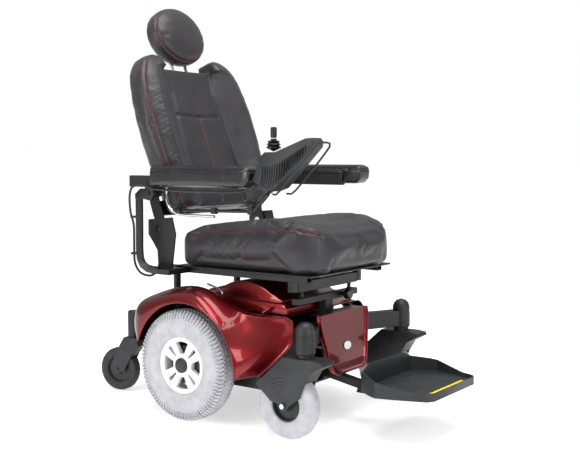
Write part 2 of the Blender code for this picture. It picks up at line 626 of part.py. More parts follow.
# ---- seat ---------------------------------------------------------------------------------------
def seat_frame():
    """The welded seat frame: pan, rails, tilt ears, arm sockets and the plates of the recliner."""
    pivot = (0, TILT_Y, TILT_Z)
    shapes = [block((-0.235, -0.425, 0.4755), (0.235, 0.115, 0.4810), 0.001)]
    flank = [(0.205, 0.630), (0.100, 0.640), (0.085, 0.585), (0.104, 0.4570), (0.160, 0.4570),
             (0.165, 0.530), (0.184, 0.555), (0.205, 0.580)]
    for _, side in SIDES:
        shapes.append(hollow_bar((side * 0.205, -0.400, 0.4665), (side * 0.205, 0.215, 0.4665), 0.025,
                                 0.0195, 0.002))
        shapes.append(mirrored(block((0.1725, -0.335, 0.4200), (0.1940, -0.311, 0.4700), 0.001), side))
        shapes.append(mirrored(block((0.2165, 0.122, 0.4600), (0.2655, 0.156, 0.4745), 0.001), side))
        shapes.append(mirrored(block((0.2165, 0.070, 0.4575), (0.3180, 0.1210, 0.4750), 0.001), side))
        shapes.append(mirrored(plate(flank, 0.2646, 0.2704), side))
    frame = weld("seat_frame", shapes, FRAME_BLACK, pivot)
    holes = [rod((s * 0.165, TILT_Y, TILT_Z), (s * 0.200, TILT_Y, TILT_Z), 0.0063) for s in (1, -1)]
    holes += [rod((s * 0.25, RECLINE_Y, RECLINE_Z), (s * 0.28, RECLINE_Y, RECLINE_Z), 0.0083)
              for s in (1, -1)]
    combine(frame, [merged(holes)], "DIFFERENCE")


def seat_cushion():
    pivot = (0, TILT_Y, TILT_Z)
    outline = []
    for x, y, radius, start in ((SEAT_HALF_W, SEAT_REAR, 0.040, 0), (-SEAT_HALF_W, SEAT_REAR, 0.040, 90),
                                (-SEAT_HALF_W, SEAT_FRONT, 0.110, 180),
                                (SEAT_HALF_W, SEAT_FRONT, 0.110, 270)):
        centre = (x - math.copysign(radius, x), y - math.copysign(radius, y))
        outline += arc(centre, radius, start, start + 90, 6)
    cushion = plate(outline, SEAT_BOTTOM, SEAT_TOP[0][1], "Z", bevel=0.018)
    for y, _ in SEAT_TOP[1:-1]:
        bmesh.ops.bisect_plane(cushion, geom=cushion.verts[:] + cushion.edges[:] + cushion.faces[:],
                               plane_co=(0, y, 0), plane_no=(0, 1, 0))
    along, height = zip(*reversed(SEAT_TOP))
    for vert in cushion.verts:
        if vert.co.z > (SEAT_BOTTOM + SEAT_TOP[0][1]) / 2:
            vert.co.z += float(np.interp(vert.co.y, along, height)) - SEAT_TOP[0][1]
    finish("seat_cushion", cushion, VINYL, pivot)


def recline_bolts():
    for name, side in SIDES:
        bolt = [(0.2560, 0), (0.2560, 0.0120), (0.2583, 0.0120), (0.2583, 0.0080), (0.2707, 0.0080),
                (0.2707, 0.0105), (0.2745, 0.0105), (0.2745, 0)]
        finish(f"recline_bolt_{name}",
               mirrored(turned(bolt, "X", (0, RECLINE_Y, RECLINE_Z), 14), side), CHROME,
               (0, TILT_Y, TILT_Z))


def back_point(x, up, forward):
    """A point in the back's own frame: across, up along the back, and out from it to the front."""
    lean, rise = math.sin(BACK_ANGLE), math.cos(BACK_ANGLE)
    return Vector((x, RECLINE_Y + up * lean - forward * rise, RECLINE_Z + up * rise + forward * lean))


def back_block(half, up, forward):
    """A box drawn in the back's own frame, between pairs of limits."""
    shape = block((half[0], up[0], forward[0]), (half[1], up[1], forward[1]))
    for vert in shape.verts:
        vert.co = back_point(*vert.co)
    return shape


BACK_ROWS = (  # up the back: height, half width, bolster depth in front of the centre panel
    (0.035, 0.225, 0.020), (0.055, 0.246, 0.034), (0.120, 0.2565, 0.045), (0.170, 0.2580, 0.050),
    (0.205, 0.270, 0.052), (0.290, 0.2765, 0.055), (0.370, 0.2765, 0.055), (0.440, 0.270, 0.053),
    (0.500, 0.258, 0.050), (0.535, 0.246, 0.046), (0.555, 0.234, 0.040),
)
PANEL_N = 0.072
BACK_N = 0.000


def back_section(half, bolster):
    """One level slice of the back cushion, from the left edge round the front to the right edge."""
    right = [(half, BACK_N + 0.030), (half, PANEL_N + bolster * 0.35),
             (half - 0.022, PANEL_N + bolster * 0.92), (half - 0.060, PANEL_N + bolster),
             (half - 0.100, PANEL_N + bolster * 0.55), (0.118, PANEL_N + 0.004)]
    front = right + [(0.060, PANEL_N + 0.004), (0, PANEL_N + 0.004), (-0.060, PANEL_N + 0.004)]
    front += [(-x, n) for x, n in reversed(right)]
    rear = [(-(half - 0.025), BACK_N), (-0.118, BACK_N), (0, BACK_N), (0.118, BACK_N),
            (half - 0.025, BACK_N)]
    return front + rear


def back_cushion():
    pivot = (0, RECLINE_Y, RECLINE_Z)
    shape = bmesh.new()
    rings = []
    for up, half, bolster in BACK_ROWS:
        rings.append([shape.verts.new(back_point(x, up, n)) for x, n in back_section(half, bolster)])
    count = len(rings[0])
    for low, high in zip(rings, rings[1:]):
        for i in range(count):
            j = (i + 1) % count
            shape.faces.new((low[i], low[j], high[j], high[i]))
    shape.faces.new(rings[0])
    shape.faces.new(rings[-1])
    back = finish("back_cushion", shape, VINYL, pivot)
    combine(back, [back_shoulder(side) for side in (1, -1)], "UNION")
    holes = [rod(back_point(s * 0.035, 0.396, 0.045), back_point(s * 0.035, 0.580, 0.045), 0.0066, 12)
             for s in (1, -1)]
    combine(back, [merged(holes)], "DIFFERENCE")


def back_frame():
    """The back's rigid shell with its strap and the two brackets that turn on the recline bolts."""
    shapes = [back_block((-0.200, 0.200), (0.070, 0.490), (-0.0135, -0.0015)),
              back_block((-0.2630, 0.2630), (0.045, 0.095), (-0.0120, -0.0030))]
    for _, side in SIDES:
        bracket = back_block((0.2588, 0.2638), (-0.018, 0.165), (-0.0100, 0.0300))
        shapes.append(mirrored(bracket, side))
    frame = weld("back_frame", shapes, FRAME_BLACK, (0, RECLINE_Y, RECLINE_Z))
    holes = [rod((s * 0.25, RECLINE_Y, RECLINE_Z), (s * 0.28, RECLINE_Y, RECLINE_Z), 0.0083)
             for s in (1, -1)]
    combine(frame, [merged(holes)], "DIFFERENCE")


def back_shoulder(side):
    """The top of one bolster, which stands up beside the headrest."""
    shape = bmesh.new()
    rings = []
    for up, inner, outer, deep in ((0.540, 0.120, 0.242, 0.114), (0.568, 0.124, 0.226, 0.108),
                                   (0.590, 0.131, 0.206, 0.098), (0.602, 0.144, 0.184, 0.084)):
        ring = [(inner, 0.014), (outer - 0.012, 0.010), (outer, 0.030), (outer, deep * 0.75),
                (outer - 0.020, deep), (inner + 0.012, deep), (inner, deep * 0.8)]
        rings.append([shape.verts.new(back_point(side * x, up, n)) for x, n in ring])
    for low, high in zip(rings, rings[1:]):
        for i in range(7):
            j = (i + 1) % 7
            shape.faces.new((low[i], low[j], high[j], high[i]))
    shape.faces.new(rings[0])
    shape.faces.new(rings[-1])
    return shape


def headrest_rod_route(radius, low):
    """The bent rod of the headrest: up one side of the middle, across inside the pad, and down."""
    points = [(-0.035, low), (-0.035, 0.520), (-0.035, 0.600), (-0.031, 0.616), (-0.018, 0.622),
              (0.0, 0.622), (0.018, 0.622), (0.031, 0.616), (0.035, 0.600), (0.035, 0.520), (0.035, low)]
    return sweep([back_point(x, up, 0.045) for x, up in points], radius, 8, 32)


def headrest():
    pivot = (0, RECLINE_Y, RECLINE_Z)
    shape = bmesh.new()
    bmesh.ops.create_uvsphere(shape, u_segments=20, v_segments=12, radius=1.0)
    for vert in shape.verts:
        x, n, up = vert.co
        spread = max(math.hypot(x, up), 1e-6) ** -0.40
        n = math.copysign(abs(n) ** 0.62, n)
        vert.co = back_point(x * spread * 0.126, 0.675 + up * spread * 0.108, 0.070 + n * 0.052)
    head = finish("headrest", shape, VINYL, pivot)
    combine(head, [headrest_rod_route(0.0069, 0.402)], "DIFFERENCE")
    finish("headrest_rod", headrest_rod_route(0.0060, 0.402), CHROME, pivot)


# ---- arms ---------------------------------------------------------------------------------------
def arms():
    tilt = (0, TILT_Y, TILT_Z)
    for name, side in SIDES:
        pivot = (side * 0.300, ARM_Y, ARM_Z)
        route = [(POST_X, POST_Y, 0.7060), (POST_X, POST_Y, 0.600), (POST_X, POST_Y, 0.520),
                 (POST_X, POST_Y - 0.012, 0.486), (POST_X - 0.004, POST_Y - 0.040, 0.4705),
                 (POST_X - 0.010, 0.1230, 0.4690)]
        link = [(0.2130, 0.7003), (0.2130, 0.7150), (0.190, 0.7330)]
        link += arc((ARM_Y, ARM_Z), 0.0230, 40, 300, 12) + [(0.1890, 0.7003)]
        post = weld(f"arm_post_{name}",
                    [sweep([(x * side, y, z) for x, y, z in route], POST_R, 10, 14),
                     mirrored(plate(link, 0.3040, 0.3230, bevel=0.001), side)], FRAME_BLACK, tilt)
        bore = rod((side * 0.29, ARM_Y, ARM_Z), (side * 0.34, ARM_Y, ARM_Z), 0.0063)
        combine(post, [bore], "DIFFERENCE")
        bar = block((TUBE_IN, -0.2000, TUBE_BOTTOM), (TUBE_OUT, 0.2630, TUBE_TOP), 0.002)
        ear = plate([(0.125, 0.742), (0.1330, 0.7080)] + arc((ARM_Y, ARM_Z), 0.0180, 210, 340, 6)
                    + [(0.180, 0.742)], 0.2830, 0.3000)
        pin = rod((0.290, ARM_Y, ARM_Z), (0.3270, ARM_Y, ARM_Z), 0.0060)
        weld(f"arm_tube_{name}", [mirrored(bar, side), mirrored(ear, side), mirrored(pin, side)],
             FRAME_BLACK, pivot)
        pad = finish(f"arm_pad_{name}", pad_solid(side), PAD_BLACK, pivot)
        groove = block((TUBE_IN - 0.010, -0.2003, TUBE_BOTTOM - 0.01),
                       (TUBE_OUT + GAP, 0.200, TUBE_TOP + GAP))
        combine(pad, [mirrored(groove, side)], "DIFFERENCE")


def pad_solid(side):
    """An arm pad: a rounded bar with a turned-down front corner."""
    outline = [(PAD_REAR, PAD_BOTTOM), (PAD_REAR, PAD_TOP - 0.010), (PAD_REAR - 0.010, PAD_TOP)]
    outline += [(PAD_FRONT + 0.020, PAD_TOP), (PAD_FRONT + 0.004, PAD_TOP - 0.008),
                (PAD_FRONT, PAD_TOP - 0.022), (PAD_FRONT + 0.004, PAD_BOTTOM + 0.018),
                (PAD_FRONT + 0.022, PAD_BOTTOM)]
    return mirrored(plate(outline, PAD_IN, PAD_OUT, bevel=0.006), side)


# ---- joystick -----------------------------------------------------------------------------------
def joystick():
    pivot = (-0.300, ARM_Y, ARM_Z)
    drop = [(-0.290, 0.105, 0.7365), (-0.290, 0.104, 0.712), (-0.290, 0.094, 0.680),
            (-0.290, 0.066, 0.658), (-0.290, 0.030, 0.6520), (-0.290, -0.100, 0.6510)]
    finish("joystick_drop_bar", sweep(drop, 0.0045, 10, 20), CHROME, pivot)
    slide_x = -0.3015
    shapes = [rod((slide_x, 0.030, 0.6660), (slide_x, -0.2500, 0.6720), 0.0050, 12),
              rod((slide_x, 0.048, 0.6655), (slide_x, 0.028, 0.6660), 0.0100, 12),
              block((slide_x - 0.008, -0.118, 0.6600), (slide_x + 0.008, -0.100, 0.6790), 0.001),
              block((slide_x - 0.009, -0.2640, 0.6630), (slide_x + 0.009, -0.2460, 0.6830), 0.001),
              rod((slide_x, -0.2550, 0.6640), (slide_x, -0.3180, 0.7260), 0.0065, 12)]
    weld("joystick_slide", shapes, FRAME_BLACK, pivot)
    joystick_box(pivot)
    guard(pivot)
    stick_parts()


# Side outline of the joystick box, (y, z): up the rear face, along the top to the nose, and back
# under the sloping front.
BOX_OUTLINE = ((-0.2840, 0.7700), (-0.3170, 0.8400), (-0.3280, 0.8490), (-0.3660, 0.8495),
               (-0.4700, 0.8880), (-0.4900, 0.8890), (-0.5000, 0.8780), (-0.4960, 0.8620),
               (-0.3700, 0.7440), (-0.3400, 0.7340), (-0.3080, 0.7400))


def joystick_box(pivot):
    upper = plate(BOX_OUTLINE, -0.3350, -0.2650, bevel=0.004)
    for vert in upper.verts:
        narrow = min(1.0, max(0.0, (-0.42 - vert.co.y) / 0.08))
        vert.co.x = STICK_X + (vert.co.x - STICK_X) * (1 - 0.30 * narrow)
    box = finish("joystick_housing", upper, PLASTIC, pivot)
    hole = rod((-0.3000, -0.3140, 0.7985), (-0.3000, -0.2860, 0.8110), 0.0053)
    combine(box, [hole], "DIFFERENCE")


def guard(pivot):
    """The bent rod round the front of the joystick box, up one side, across and down the other."""
    points = [(-0.3330, -0.3600, 0.7270), (-0.3390, -0.3800, 0.7300), (-0.3390, -0.4400, 0.7880),
              (-0.3350, -0.5050, 0.8560), (-0.3280, -0.5180, 0.8720), (-0.3000, -0.5200, 0.8760),
              (-0.2720, -0.5180, 0.8720), (-0.2650, -0.5050, 0.8560), (-0.2610, -0.4400, 0.7880),
              (-0.2610, -0.3800, 0.7300), (-0.2670, -0.3600, 0.7270)]
    finish("joystick_guard", sweep(points, 0.0030, 8, 32), FRAME_BLACK, pivot)


def stick_parts():
    """The stick: its bellows and knob tilt together on the top of the box."""
    base = Vector((STICK_X, STICK_Y, STICK_Z))
    bellows = [(0.0, 0.0), (0.0100, 0.0215), (0.0130, 0.0215), (0.0170, 0.0165), (0.0210, 0.0215),
               (0.0260, 0.0155), (0.0300, 0.0190), (0.0340, 0.0085), (0.0380, 0.0085), (0.0380, 0.0)]
    finish("joystick_boot", turned(bellows, "Z", base, 20), PLASTIC, base)
    knob = [(0.0398, 0.0), (0.0398, 0.0076), (0.0440, 0.0095), (0.0670, 0.0095), (0.0710, 0.0080),
            (0.0720, 0.0)]
    finish("joystick_knob", turned(knob, "Z", base, 20), PLASTIC, base)
    finish("joystick_power_button", rod((-0.3000, -0.3040, 0.8030), (-0.3000, -0.2920, 0.8083), 0.0050),
           AMBER, (-0.300, -0.3040, 0.8030))


def leads():
    """The joystick's lead in two clipped stretches: along the arm and round its hinge, then down."""
    upper = [(-0.3392, -0.2990, 0.7520), (-0.3430, -0.2740, 0.7370), (-0.3410, -0.2200, 0.7300),
             (-0.3370, -0.1000, 0.7290), (-0.3340, 0.0000, 0.7295), (-0.3340, 0.0900, 0.7320),
             (-0.3350, 0.1250, 0.7340), (-0.3360, 0.1500, 0.7410), (-0.3360, 0.1720, 0.7450),
             (-0.3355, 0.1963, 0.7428), (-0.3335, 0.2170, 0.7330), (-0.3316, 0.2262, 0.7050)]
    finish("joystick_lead_arm", sweep(upper, LEAD_R, 8, 36), FRAME_BLACK, (-0.300, ARM_Y, ARM_Z))
    lower = [(-0.3400, 0.2264, 0.7012), (-0.3400, 0.2264, 0.6900), (-0.3385, 0.2262, 0.6780),
             (-0.3310, 0.2260, 0.6580), (-0.3210, 0.2250, 0.6250), (-0.3180, 0.2240, 0.6000),
             (-0.3180, 0.2240, 0.5300),
             (-0.3180, 0.2200, 0.4860), (-0.3120, 0.2010, 0.4560), (-0.2960, 0.1760, 0.4470),
             (-0.2830, 0.1620, 0.4560), (-0.2800, 0.1500, 0.4750), (-0.2800, 0.1420, 0.4900)]
    finish("joystick_lead_post", sweep(lower, LEAD_R, 8, 36), FRAME_BLACK, (0, TILT_Y, TILT_Z))


# ---- foot platform ------------------------------------------------------------------------------
def foot_support():
    bracket = [(-0.4580, 0.098), (-0.4900, 0.098), (-0.5380, 0.176), (-0.5380, 0.202),
               (-0.5180, 0.202), (-0.4690, 0.134)]
    tube = hollow_bar((0, -0.3365, 0.1386), (0, -0.4700, 0.1158), 0.032, 0.022, 0.003)
    stay = weld("foot_support", [tube, plate(bracket, -0.030, 0.030)], FRAME_BLACK)
    bore = rod((-0.05, FOOT_HINGE_Y, FOOT_HINGE_Z), (0.05, FOOT_HINGE_Y, FOOT_HINGE_Z), 0.0043, 12)
    combine(stay, [bore], "DIFFERENCE")


def foot_platform():
    pivot = (0, FOOT_HINGE_Y, FOOT_HINGE_Z)
    tray = finish("foot_platform", foot_tray(), PLASTIC, pivot)
    ears = [block((side * 0.0385 - 0.0080, -0.5510, 0.1785), (side * 0.0385 + 0.0080, -0.5180, 0.2013))
            for side in (1, -1)]
    pin = rod((-0.0460, FOOT_HINGE_Y, FOOT_HINGE_Z), (0.0460, FOOT_HINGE_Y, FOOT_HINGE_Z), 0.0040, 12)
    combine(tray, ears + [pin], "UNION")


# Half of the tray's plan from the heel to the toe: x, y and the height of the wall there.
TRAY_HALF = ((0.110, -0.5480, 0.076), (0.150, -0.5500, 0.058),
             (0.185, -0.6000, 0.050), (0.197, -0.6250, 0.045), (0.180, -0.6850, 0.032),
             (0.165, -0.7300, 0.024), (0.150, -0.7700, 0.024), (0.130, -0.7830, 0.024))
TRAY_FLOOR = 0.1380


def foot_tray():
    """A shallow tray: floor, with a wall that is tall behind the heels and low at the toes."""
    loop = list(TRAY_HALF) + [(-x, y, h) for x, y, h in reversed(TRAY_HALF)]
    middle = Vector((0, -0.670, 0))
    shape = bmesh.new()

    def ring(inset, height):
        made = []
        for x, y, wall in loop:
            spot = Vector((x, y, 0))
            inward = (middle - spot).normalized() * inset
            level = height if height is not None else wall
            made.append(shape.verts.new((x + inward.x, y + inward.y, TRAY_FLOOR + level)))
        return made

    rings = [ring(0.0, 0.0), ring(0.0, None), ring(0.006, None), ring(0.008, 0.012)]
    count = len(loop)
    for low, high in zip(rings, rings[1:]):
        for i in range(count):
            j = (i + 1) % count
            shape.faces.new((low[i], low[j], high[j], high[i]))
    for end in (rings[0], rings[-1]):
        for i in range(len(TRAY_HALF) - 1):
            shape.faces.new((end[i], end[i + 1], end[count - 2 - i], end[count - 1 - i]))
    bmesh.ops.triangulate(shape, faces=shape.faces)
    return shape


def recline_lever():
    outline = [(0.132, 0.540), (0.128, 0.532), (0.118, 0.528), (0.060, 0.533), (0.012, 0.546),
               (0.008, 0.556), (0.016, 0.562), (0.064, 0.551), (0.118, 0.552), (0.128, 0.548)]
    weld("recline_lever", [plate(outline, 0.2755, 0.2795, bevel=0.001),
                           rod((0.2708, 0.120, 0.540), (0.2765, 0.120, 0.540), 0.0080)], PLASTIC,
         (0.2775, 0.120, 0.540))


base_frame()
front_frame()
batteries_and_drive()
seat_supports()
body_shroud()
battery_cover()
front_cover()
freewheel_levers()
drive_wheels()
front_casters()
rear_casters()
seat_frame()
seat_cushion()
recline_bolts()
recline_lever()
back_frame()
back_cushion()
headrest()
arms()
joystick()
leads()
foot_support()
foot_platform()
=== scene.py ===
# %% [markdown]
# # A mid-wheel-drive power wheelchair
# The chair stands on six wheels: two grey drive wheels in the middle, two castered wheels in front
# and two small ones behind. A candy-red shroud covers the batteries, and a bolstered vinyl seat
# stands on a black frame above it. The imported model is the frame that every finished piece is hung
# on.

import math

import bmesh
import bpy
import numpy as np
from mathutils import Matrix, Vector
from mathutils.bvhtree import BVHTree
from mathutils.kdtree import KDTree


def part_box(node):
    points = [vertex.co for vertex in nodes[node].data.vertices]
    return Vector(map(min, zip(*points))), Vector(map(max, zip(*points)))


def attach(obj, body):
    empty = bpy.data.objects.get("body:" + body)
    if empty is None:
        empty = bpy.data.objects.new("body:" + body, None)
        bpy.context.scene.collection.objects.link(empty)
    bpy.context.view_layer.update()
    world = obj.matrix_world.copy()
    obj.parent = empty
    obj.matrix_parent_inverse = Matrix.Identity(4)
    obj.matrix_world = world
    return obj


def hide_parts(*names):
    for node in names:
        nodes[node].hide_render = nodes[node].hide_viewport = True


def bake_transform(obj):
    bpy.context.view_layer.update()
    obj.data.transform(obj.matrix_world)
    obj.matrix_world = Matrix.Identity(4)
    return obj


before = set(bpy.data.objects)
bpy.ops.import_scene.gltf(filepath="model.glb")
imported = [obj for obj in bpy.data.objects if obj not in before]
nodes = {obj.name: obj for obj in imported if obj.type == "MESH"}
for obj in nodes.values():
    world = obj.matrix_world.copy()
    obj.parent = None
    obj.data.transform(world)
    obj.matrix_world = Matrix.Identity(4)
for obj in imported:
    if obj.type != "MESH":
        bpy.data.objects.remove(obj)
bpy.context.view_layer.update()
wheel_low, wheel_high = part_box("drive_tyre_right")
AXLE = Vector((0, (wheel_low.y + wheel_high.y) / 2, (wheel_low.z + wheel_high.z) / 2))
SIDES = (("right", -1), ("left", 1))
print(len(nodes), "nodes; the drive axle is at", tuple(round(v, 4) for v in AXLE))

# %% [markdown]
# ## Small helpers
# The chair's own measures start under the drive axle, so one function moves such a point into the
# frame. Each finished piece gets its material, smooth shading and the body that it moves with in
# one place, which keeps the cells that follow to the shape itself.


# %% Placing and finishing a piece
def on_chair(x, y, z):
    """A point measured from the floor under the drive axle, in the frame."""
    return Vector((x, y + AXLE.y, z))


def put_on(name, shape, material, body, stands_for=(), angle=40):
    """Makes the bmesh a finished piece that rides on a body."""
    mesh = bpy.data.meshes.new(name)
    shape.to_mesh(mesh)
    shape.free()
    mesh.shade_smooth()
    mesh.set_sharp_from_angle(angle=math.radians(angle))
    mesh.materials.append(material)
    piece = bpy.data.objects.new(name, mesh)
    bpy.context.scene.collection.objects.link(piece)
    if stands_for:
        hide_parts(*stands_for)
    if body:
        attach(piece, body)
    return piece


def outward(shape):
    """Merges doubled points and turns every face out."""
    bmesh.ops.remove_doubles(shape, verts=shape.verts, dist=1e-6)
    bmesh.ops.recalc_face_normals(shape, faces=shape.faces)
    return shape


def join(*shapes):
    """One bmesh that holds them all."""
    whole = bmesh.new()
    for shape in shapes:
        mesh = bpy.data.meshes.new("part")
        shape.to_mesh(mesh)
        shape.free()
        whole.from_mesh(mesh)
        bpy.data.meshes.remove(mesh)
    return whole


def between(rows, at):
    """The value at a place between rows of numbers, on a smooth curve through them."""
    i = min(int(at), len(rows) - 2)
    t = at - i
    a, b, c, d = (rows[max(i - 1, 0)], rows[i], rows[i + 1], rows[min(i + 2, len(rows) - 1)])
    a, b, c, d = (np.array(v, float) for v in (a, b, c, d))
    return 0.5 * (2 * b + (c - a) * t + (2 * a - 5 * b + 4 * c - d) * t * t
                  + (3 * b - 3 * c + d - a) * t ** 3)


def tube(runs, radius, sides=8):
    """A round tube along each run of points; a point may carry its own share of the radius."""
    line = bpy.data.curves.new("route", "CURVE")
    line.dimensions = "3D"
    line.bevel_depth, line.bevel_resolution, line.use_fill_caps = radius, (sides - 4) // 2, True
    for run in runs:
        spline = line.splines.new("POLY")
        spline.points.add(len(run) - 1)
        for spot, point in zip(spline.points, run):
            spot.co = (*point[:3], 1)
            spot.radius = point[3] if len(point) > 3 else 1.0
    holder = bpy.data.objects.new("route", line)
    bpy.context.scene.collection.objects.link(holder)
    graph = bpy.context.evaluated_depsgraph_get()
    mesh = bpy.data.meshes.new_from_object(holder.evaluated_get(graph))
    shape = bmesh.new()
    shape.from_mesh(mesh)
    bpy.data.objects.remove(holder)
    bpy.data.curves.remove(line)
    bpy.data.meshes.remove(mesh)
    return shape


def smooth_line(points, steps=6):
    """More points on a smooth curve through these."""
    spots = [Vector(between(points, i / steps)) for i in range((len(points) - 1) * steps)]
    return spots + [Vector(points[-1])]


def add_modifier(piece, kind, **settings):
    step = piece.modifiers.new(kind.lower(), kind)
    for name, value in settings.items():
        setattr(step, name, value)
    return step


def apply_modifiers(piece):
    """Bakes the modifiers into the mesh."""
    graph = bpy.context.evaluated_depsgraph_get()
    baked = bpy.data.meshes.new_from_object(piece.evaluated_get(graph))
    piece.modifiers.clear()
    piece.data = baked
    return piece


# %% [markdown]
# ## Materials
# Each finish is built from what it is. Colours are written as sRGB hex, as a colour picker shows
# them, and one function makes them linear. One function adds a shader node with its settings and
# links.


# %% Colour and node helpers
def linear(code):
    """An sRGB hex colour as linear RGBA."""
    parts = [int(code[i:i + 2], 16) / 255 for i in (1, 3, 5)]
    return (*[p / 12.92 if p <= 0.04045 else ((p + 0.055) / 1.055) ** 2.4 for p in parts], 1.0)


def add(tree, kind, links=None, **settings):
    """Adds a node: settings go to its properties or its sockets by name, and links feed sockets."""
    made = tree.nodes.new(kind)
    for name, value in settings.items():
        if hasattr(made, name):
            setattr(made, name, value)
        else:
            made.inputs[name.replace("_", " ")].default_value = value
    for name, source in (links or {}).items():
        tree.links.new(source, made.inputs[name])
    return made


def start_material(name, colour, roughness, metallic=0.0, **sockets):
    """A material whose main shader has these values; returns it with its tree, shader and place."""
    material = bpy.data.materials.new(name)
    material.use_nodes = True
    tree = material.node_tree
    shader = tree.nodes["Principled BSDF"]
    shader.inputs["Base Color"].default_value = linear(colour)
    shader.inputs["Roughness"].default_value = roughness
    shader.inputs["Metallic"].default_value = metallic
    for label, value in sockets.items():
        shader.inputs[label.replace("_", " ")].default_value = value
    place = add(tree, "ShaderNodeTexCoord").outputs["Object"]
    return material, tree, shader, place


def grain(tree, shader, place, millimetres, strength, depth_mm=0.2, detail=3.0):
    """Fine bumps of a given size, as a mould or a coat leaves them."""
    noise = add(tree, "ShaderNodeTexNoise", {"Vector": place}, Scale=1000 / millimetres,
                Detail=detail)
    bump = add(tree, "ShaderNodeBump", {"Height": noise.outputs["Fac"]}, Strength=strength,
               Distance=depth_mm / 1000)
    tree.links.new(bump.outputs["Normal"], shader.inputs["Normal"])
    return bump


def vary(tree, shader, place, millimetres, low, high, socket="Roughness"):
    """Lets a value wander over the surface between two limits."""
    noise = add(tree, "ShaderNodeTexNoise", {"Vector": place}, Scale=1000 / millimetres, Detail=4.0)
    ramp = add(tree, "ShaderNodeMapRange", {"Value": noise.outputs["Fac"]})
    for label, value in (("From Min", 0.3), ("From Max", 0.7), ("To Min", low), ("To Max", high)):
        ramp.inputs[label].default_value = value
    tree.links.new(ramp.outputs["Result"], shader.inputs[socket])
    return noise


def two_tone(tree, shader, place, millimetres, first, second, reach=(0.35, 0.65)):
    """Clouds of a second colour in the first."""
    noise = add(tree, "ShaderNodeTexNoise", {"Vector": place}, Scale=1000 / millimetres, Detail=5.0)
    ramp = add(tree, "ShaderNodeValToRGB", {"Fac": noise.outputs["Fac"]})
    ramp.color_ramp.elements[0].position, ramp.color_ramp.elements[1].position = reach
    ramp.color_ramp.elements[0].color = linear(first)
    ramp.color_ramp.elements[1].color = linear(second)
    tree.links.new(ramp.outputs["Color"], shader.inputs["Base Color"])
    return ramp


# %% Candy red lacquer over moulded plastic
def candy_red():
    """Metal flake under a tinted clear coat: deep at a glance, bright where it faces the light."""
    material, tree, shader, place = start_material(
        "candy_red_lacquer", "#6E060D", 0.28, 0.75, Coat_Weight=0.65, Coat_Roughness=0.03,
        Coat_IOR=1.5)
    facing = add(tree, "ShaderNodeLayerWeight", Blend=0.35)
    ramp = add(tree, "ShaderNodeValToRGB", {"Fac": facing.outputs["Facing"]})
    ramp.color_ramp.elements[0].color = linear("#83070F")
    ramp.color_ramp.elements[1].color = linear("#1E0204")
    flake = add(tree, "ShaderNodeTexVoronoi", {"Vector": place}, Scale=1400.0)
    sparkle = add(tree, "ShaderNodeMapRange", {"Value": flake.outputs["Distance"]})
    sparkle.inputs["To Min"].default_value = 0.22
    sparkle.inputs["To Max"].default_value = 0.36
    tree.links.new(ramp.outputs["Color"], shader.inputs["Base Color"])
    tree.links.new(sparkle.outputs["Result"], shader.inputs["Roughness"])
    return material


RED = candy_red()
print("made", RED.name)


# %% Metals
def powder_coat():
    """Baked black powder on steel, with the slight orange peel that the melt leaves."""
    material, tree, shader, place = start_material("black_powder_coat_on_steel", "#0D0E10", 0.42)
    grain(tree, shader, place, 1.6, 0.35, 0.12)
    vary(tree, shader, place, 60, 0.36, 0.50)
    return material


def plated_chrome():
    """Bright chrome plate on bent steel, with faint polishing haze."""
    material, tree, shader, place = start_material("polished_chrome_plate", "#D6D8DA", 0.08, 1.0)
    vary(tree, shader, place, 14, 0.05, 0.16)
    return material


def cast_case():
    """Sand-cast aluminium with a pebbled skin."""
    material, tree, shader, place = start_material("cast_aluminium", "#9A9C9E", 0.5, 1.0)
    grain(tree, shader, place, 1.2, 0.5, 0.25)
    return material


FRAME_BLACK = powder_coat()
CHROME = plated_chrome()
CASTING = cast_case()
print("made", FRAME_BLACK.name, CHROME.name, CASTING.name)


# %% Plastics
def moulded_grey():
    """Grained polypropylene, as moulded: a matt dark grey, a little paler in clouds."""
    material, tree, shader, place = start_material("grained_grey_polypropylene", "#212224", 0.48)
    grain(tree, shader, place, 0.9, 0.5, 0.16)
    two_tone(tree, shader, place, 45, "#1D1E20", "#252729")
    vary(tree, shader, place, 80, 0.42, 0.55)
    return material


def gloss_black():
    """Polished ABS."""
    material, tree, shader, place = start_material("polished_black_abs", "#141416", 0.22)
    vary(tree, shader, place, 30, 0.18, 0.30)
    return material


def rim_white():
    """White glass-filled nylon, slightly glossy, with the soft mottling of the mould."""
    material, tree, shader, place = start_material("white_nylon_rim", "#ECECEC", 0.33)
    two_tone(tree, shader, place, 35, "#E6E6E7", "#F2F2F1")
    grain(tree, shader, place, 2.5, 0.15, 0.1)
    return material


def amber():
    material, tree, shader, place = start_material("amber_acrylic", "#E8A21A", 0.3)
    two_tone(tree, shader, place, 4, "#D8900F", "#F2B735")
    return material


GREY_PLASTIC = moulded_grey()
BLACK_PLASTIC = gloss_black()
WHITE_RIM = rim_white()
AMBER = amber()
print("made", GREY_PLASTIC.name, BLACK_PLASTIC.name, WHITE_RIM.name, AMBER.name)


# %% Rubber
def grey_rubber():
    """Non-marking grey tyre rubber: chalky, with scuffs a shade darker in clouds."""
    material, tree, shader, place = start_material("non_marking_grey_rubber", "#BDBDC2", 0.72)
    two_tone(tree, shader, place, 26, "#ACACB1", "#BCBCC1")
    grain(tree, shader, place, 1.1, 0.45, 0.15)
    return material


def black_rubber():
    """Solid black caster rubber, greyed by dust."""
    material, tree, shader, place = start_material("black_caster_rubber", "#2B2828", 0.68)
    two_tone(tree, shader, place, 20, "#272424", "#343131")
    grain(tree, shader, place, 1.0, 0.4, 0.15)
    return material


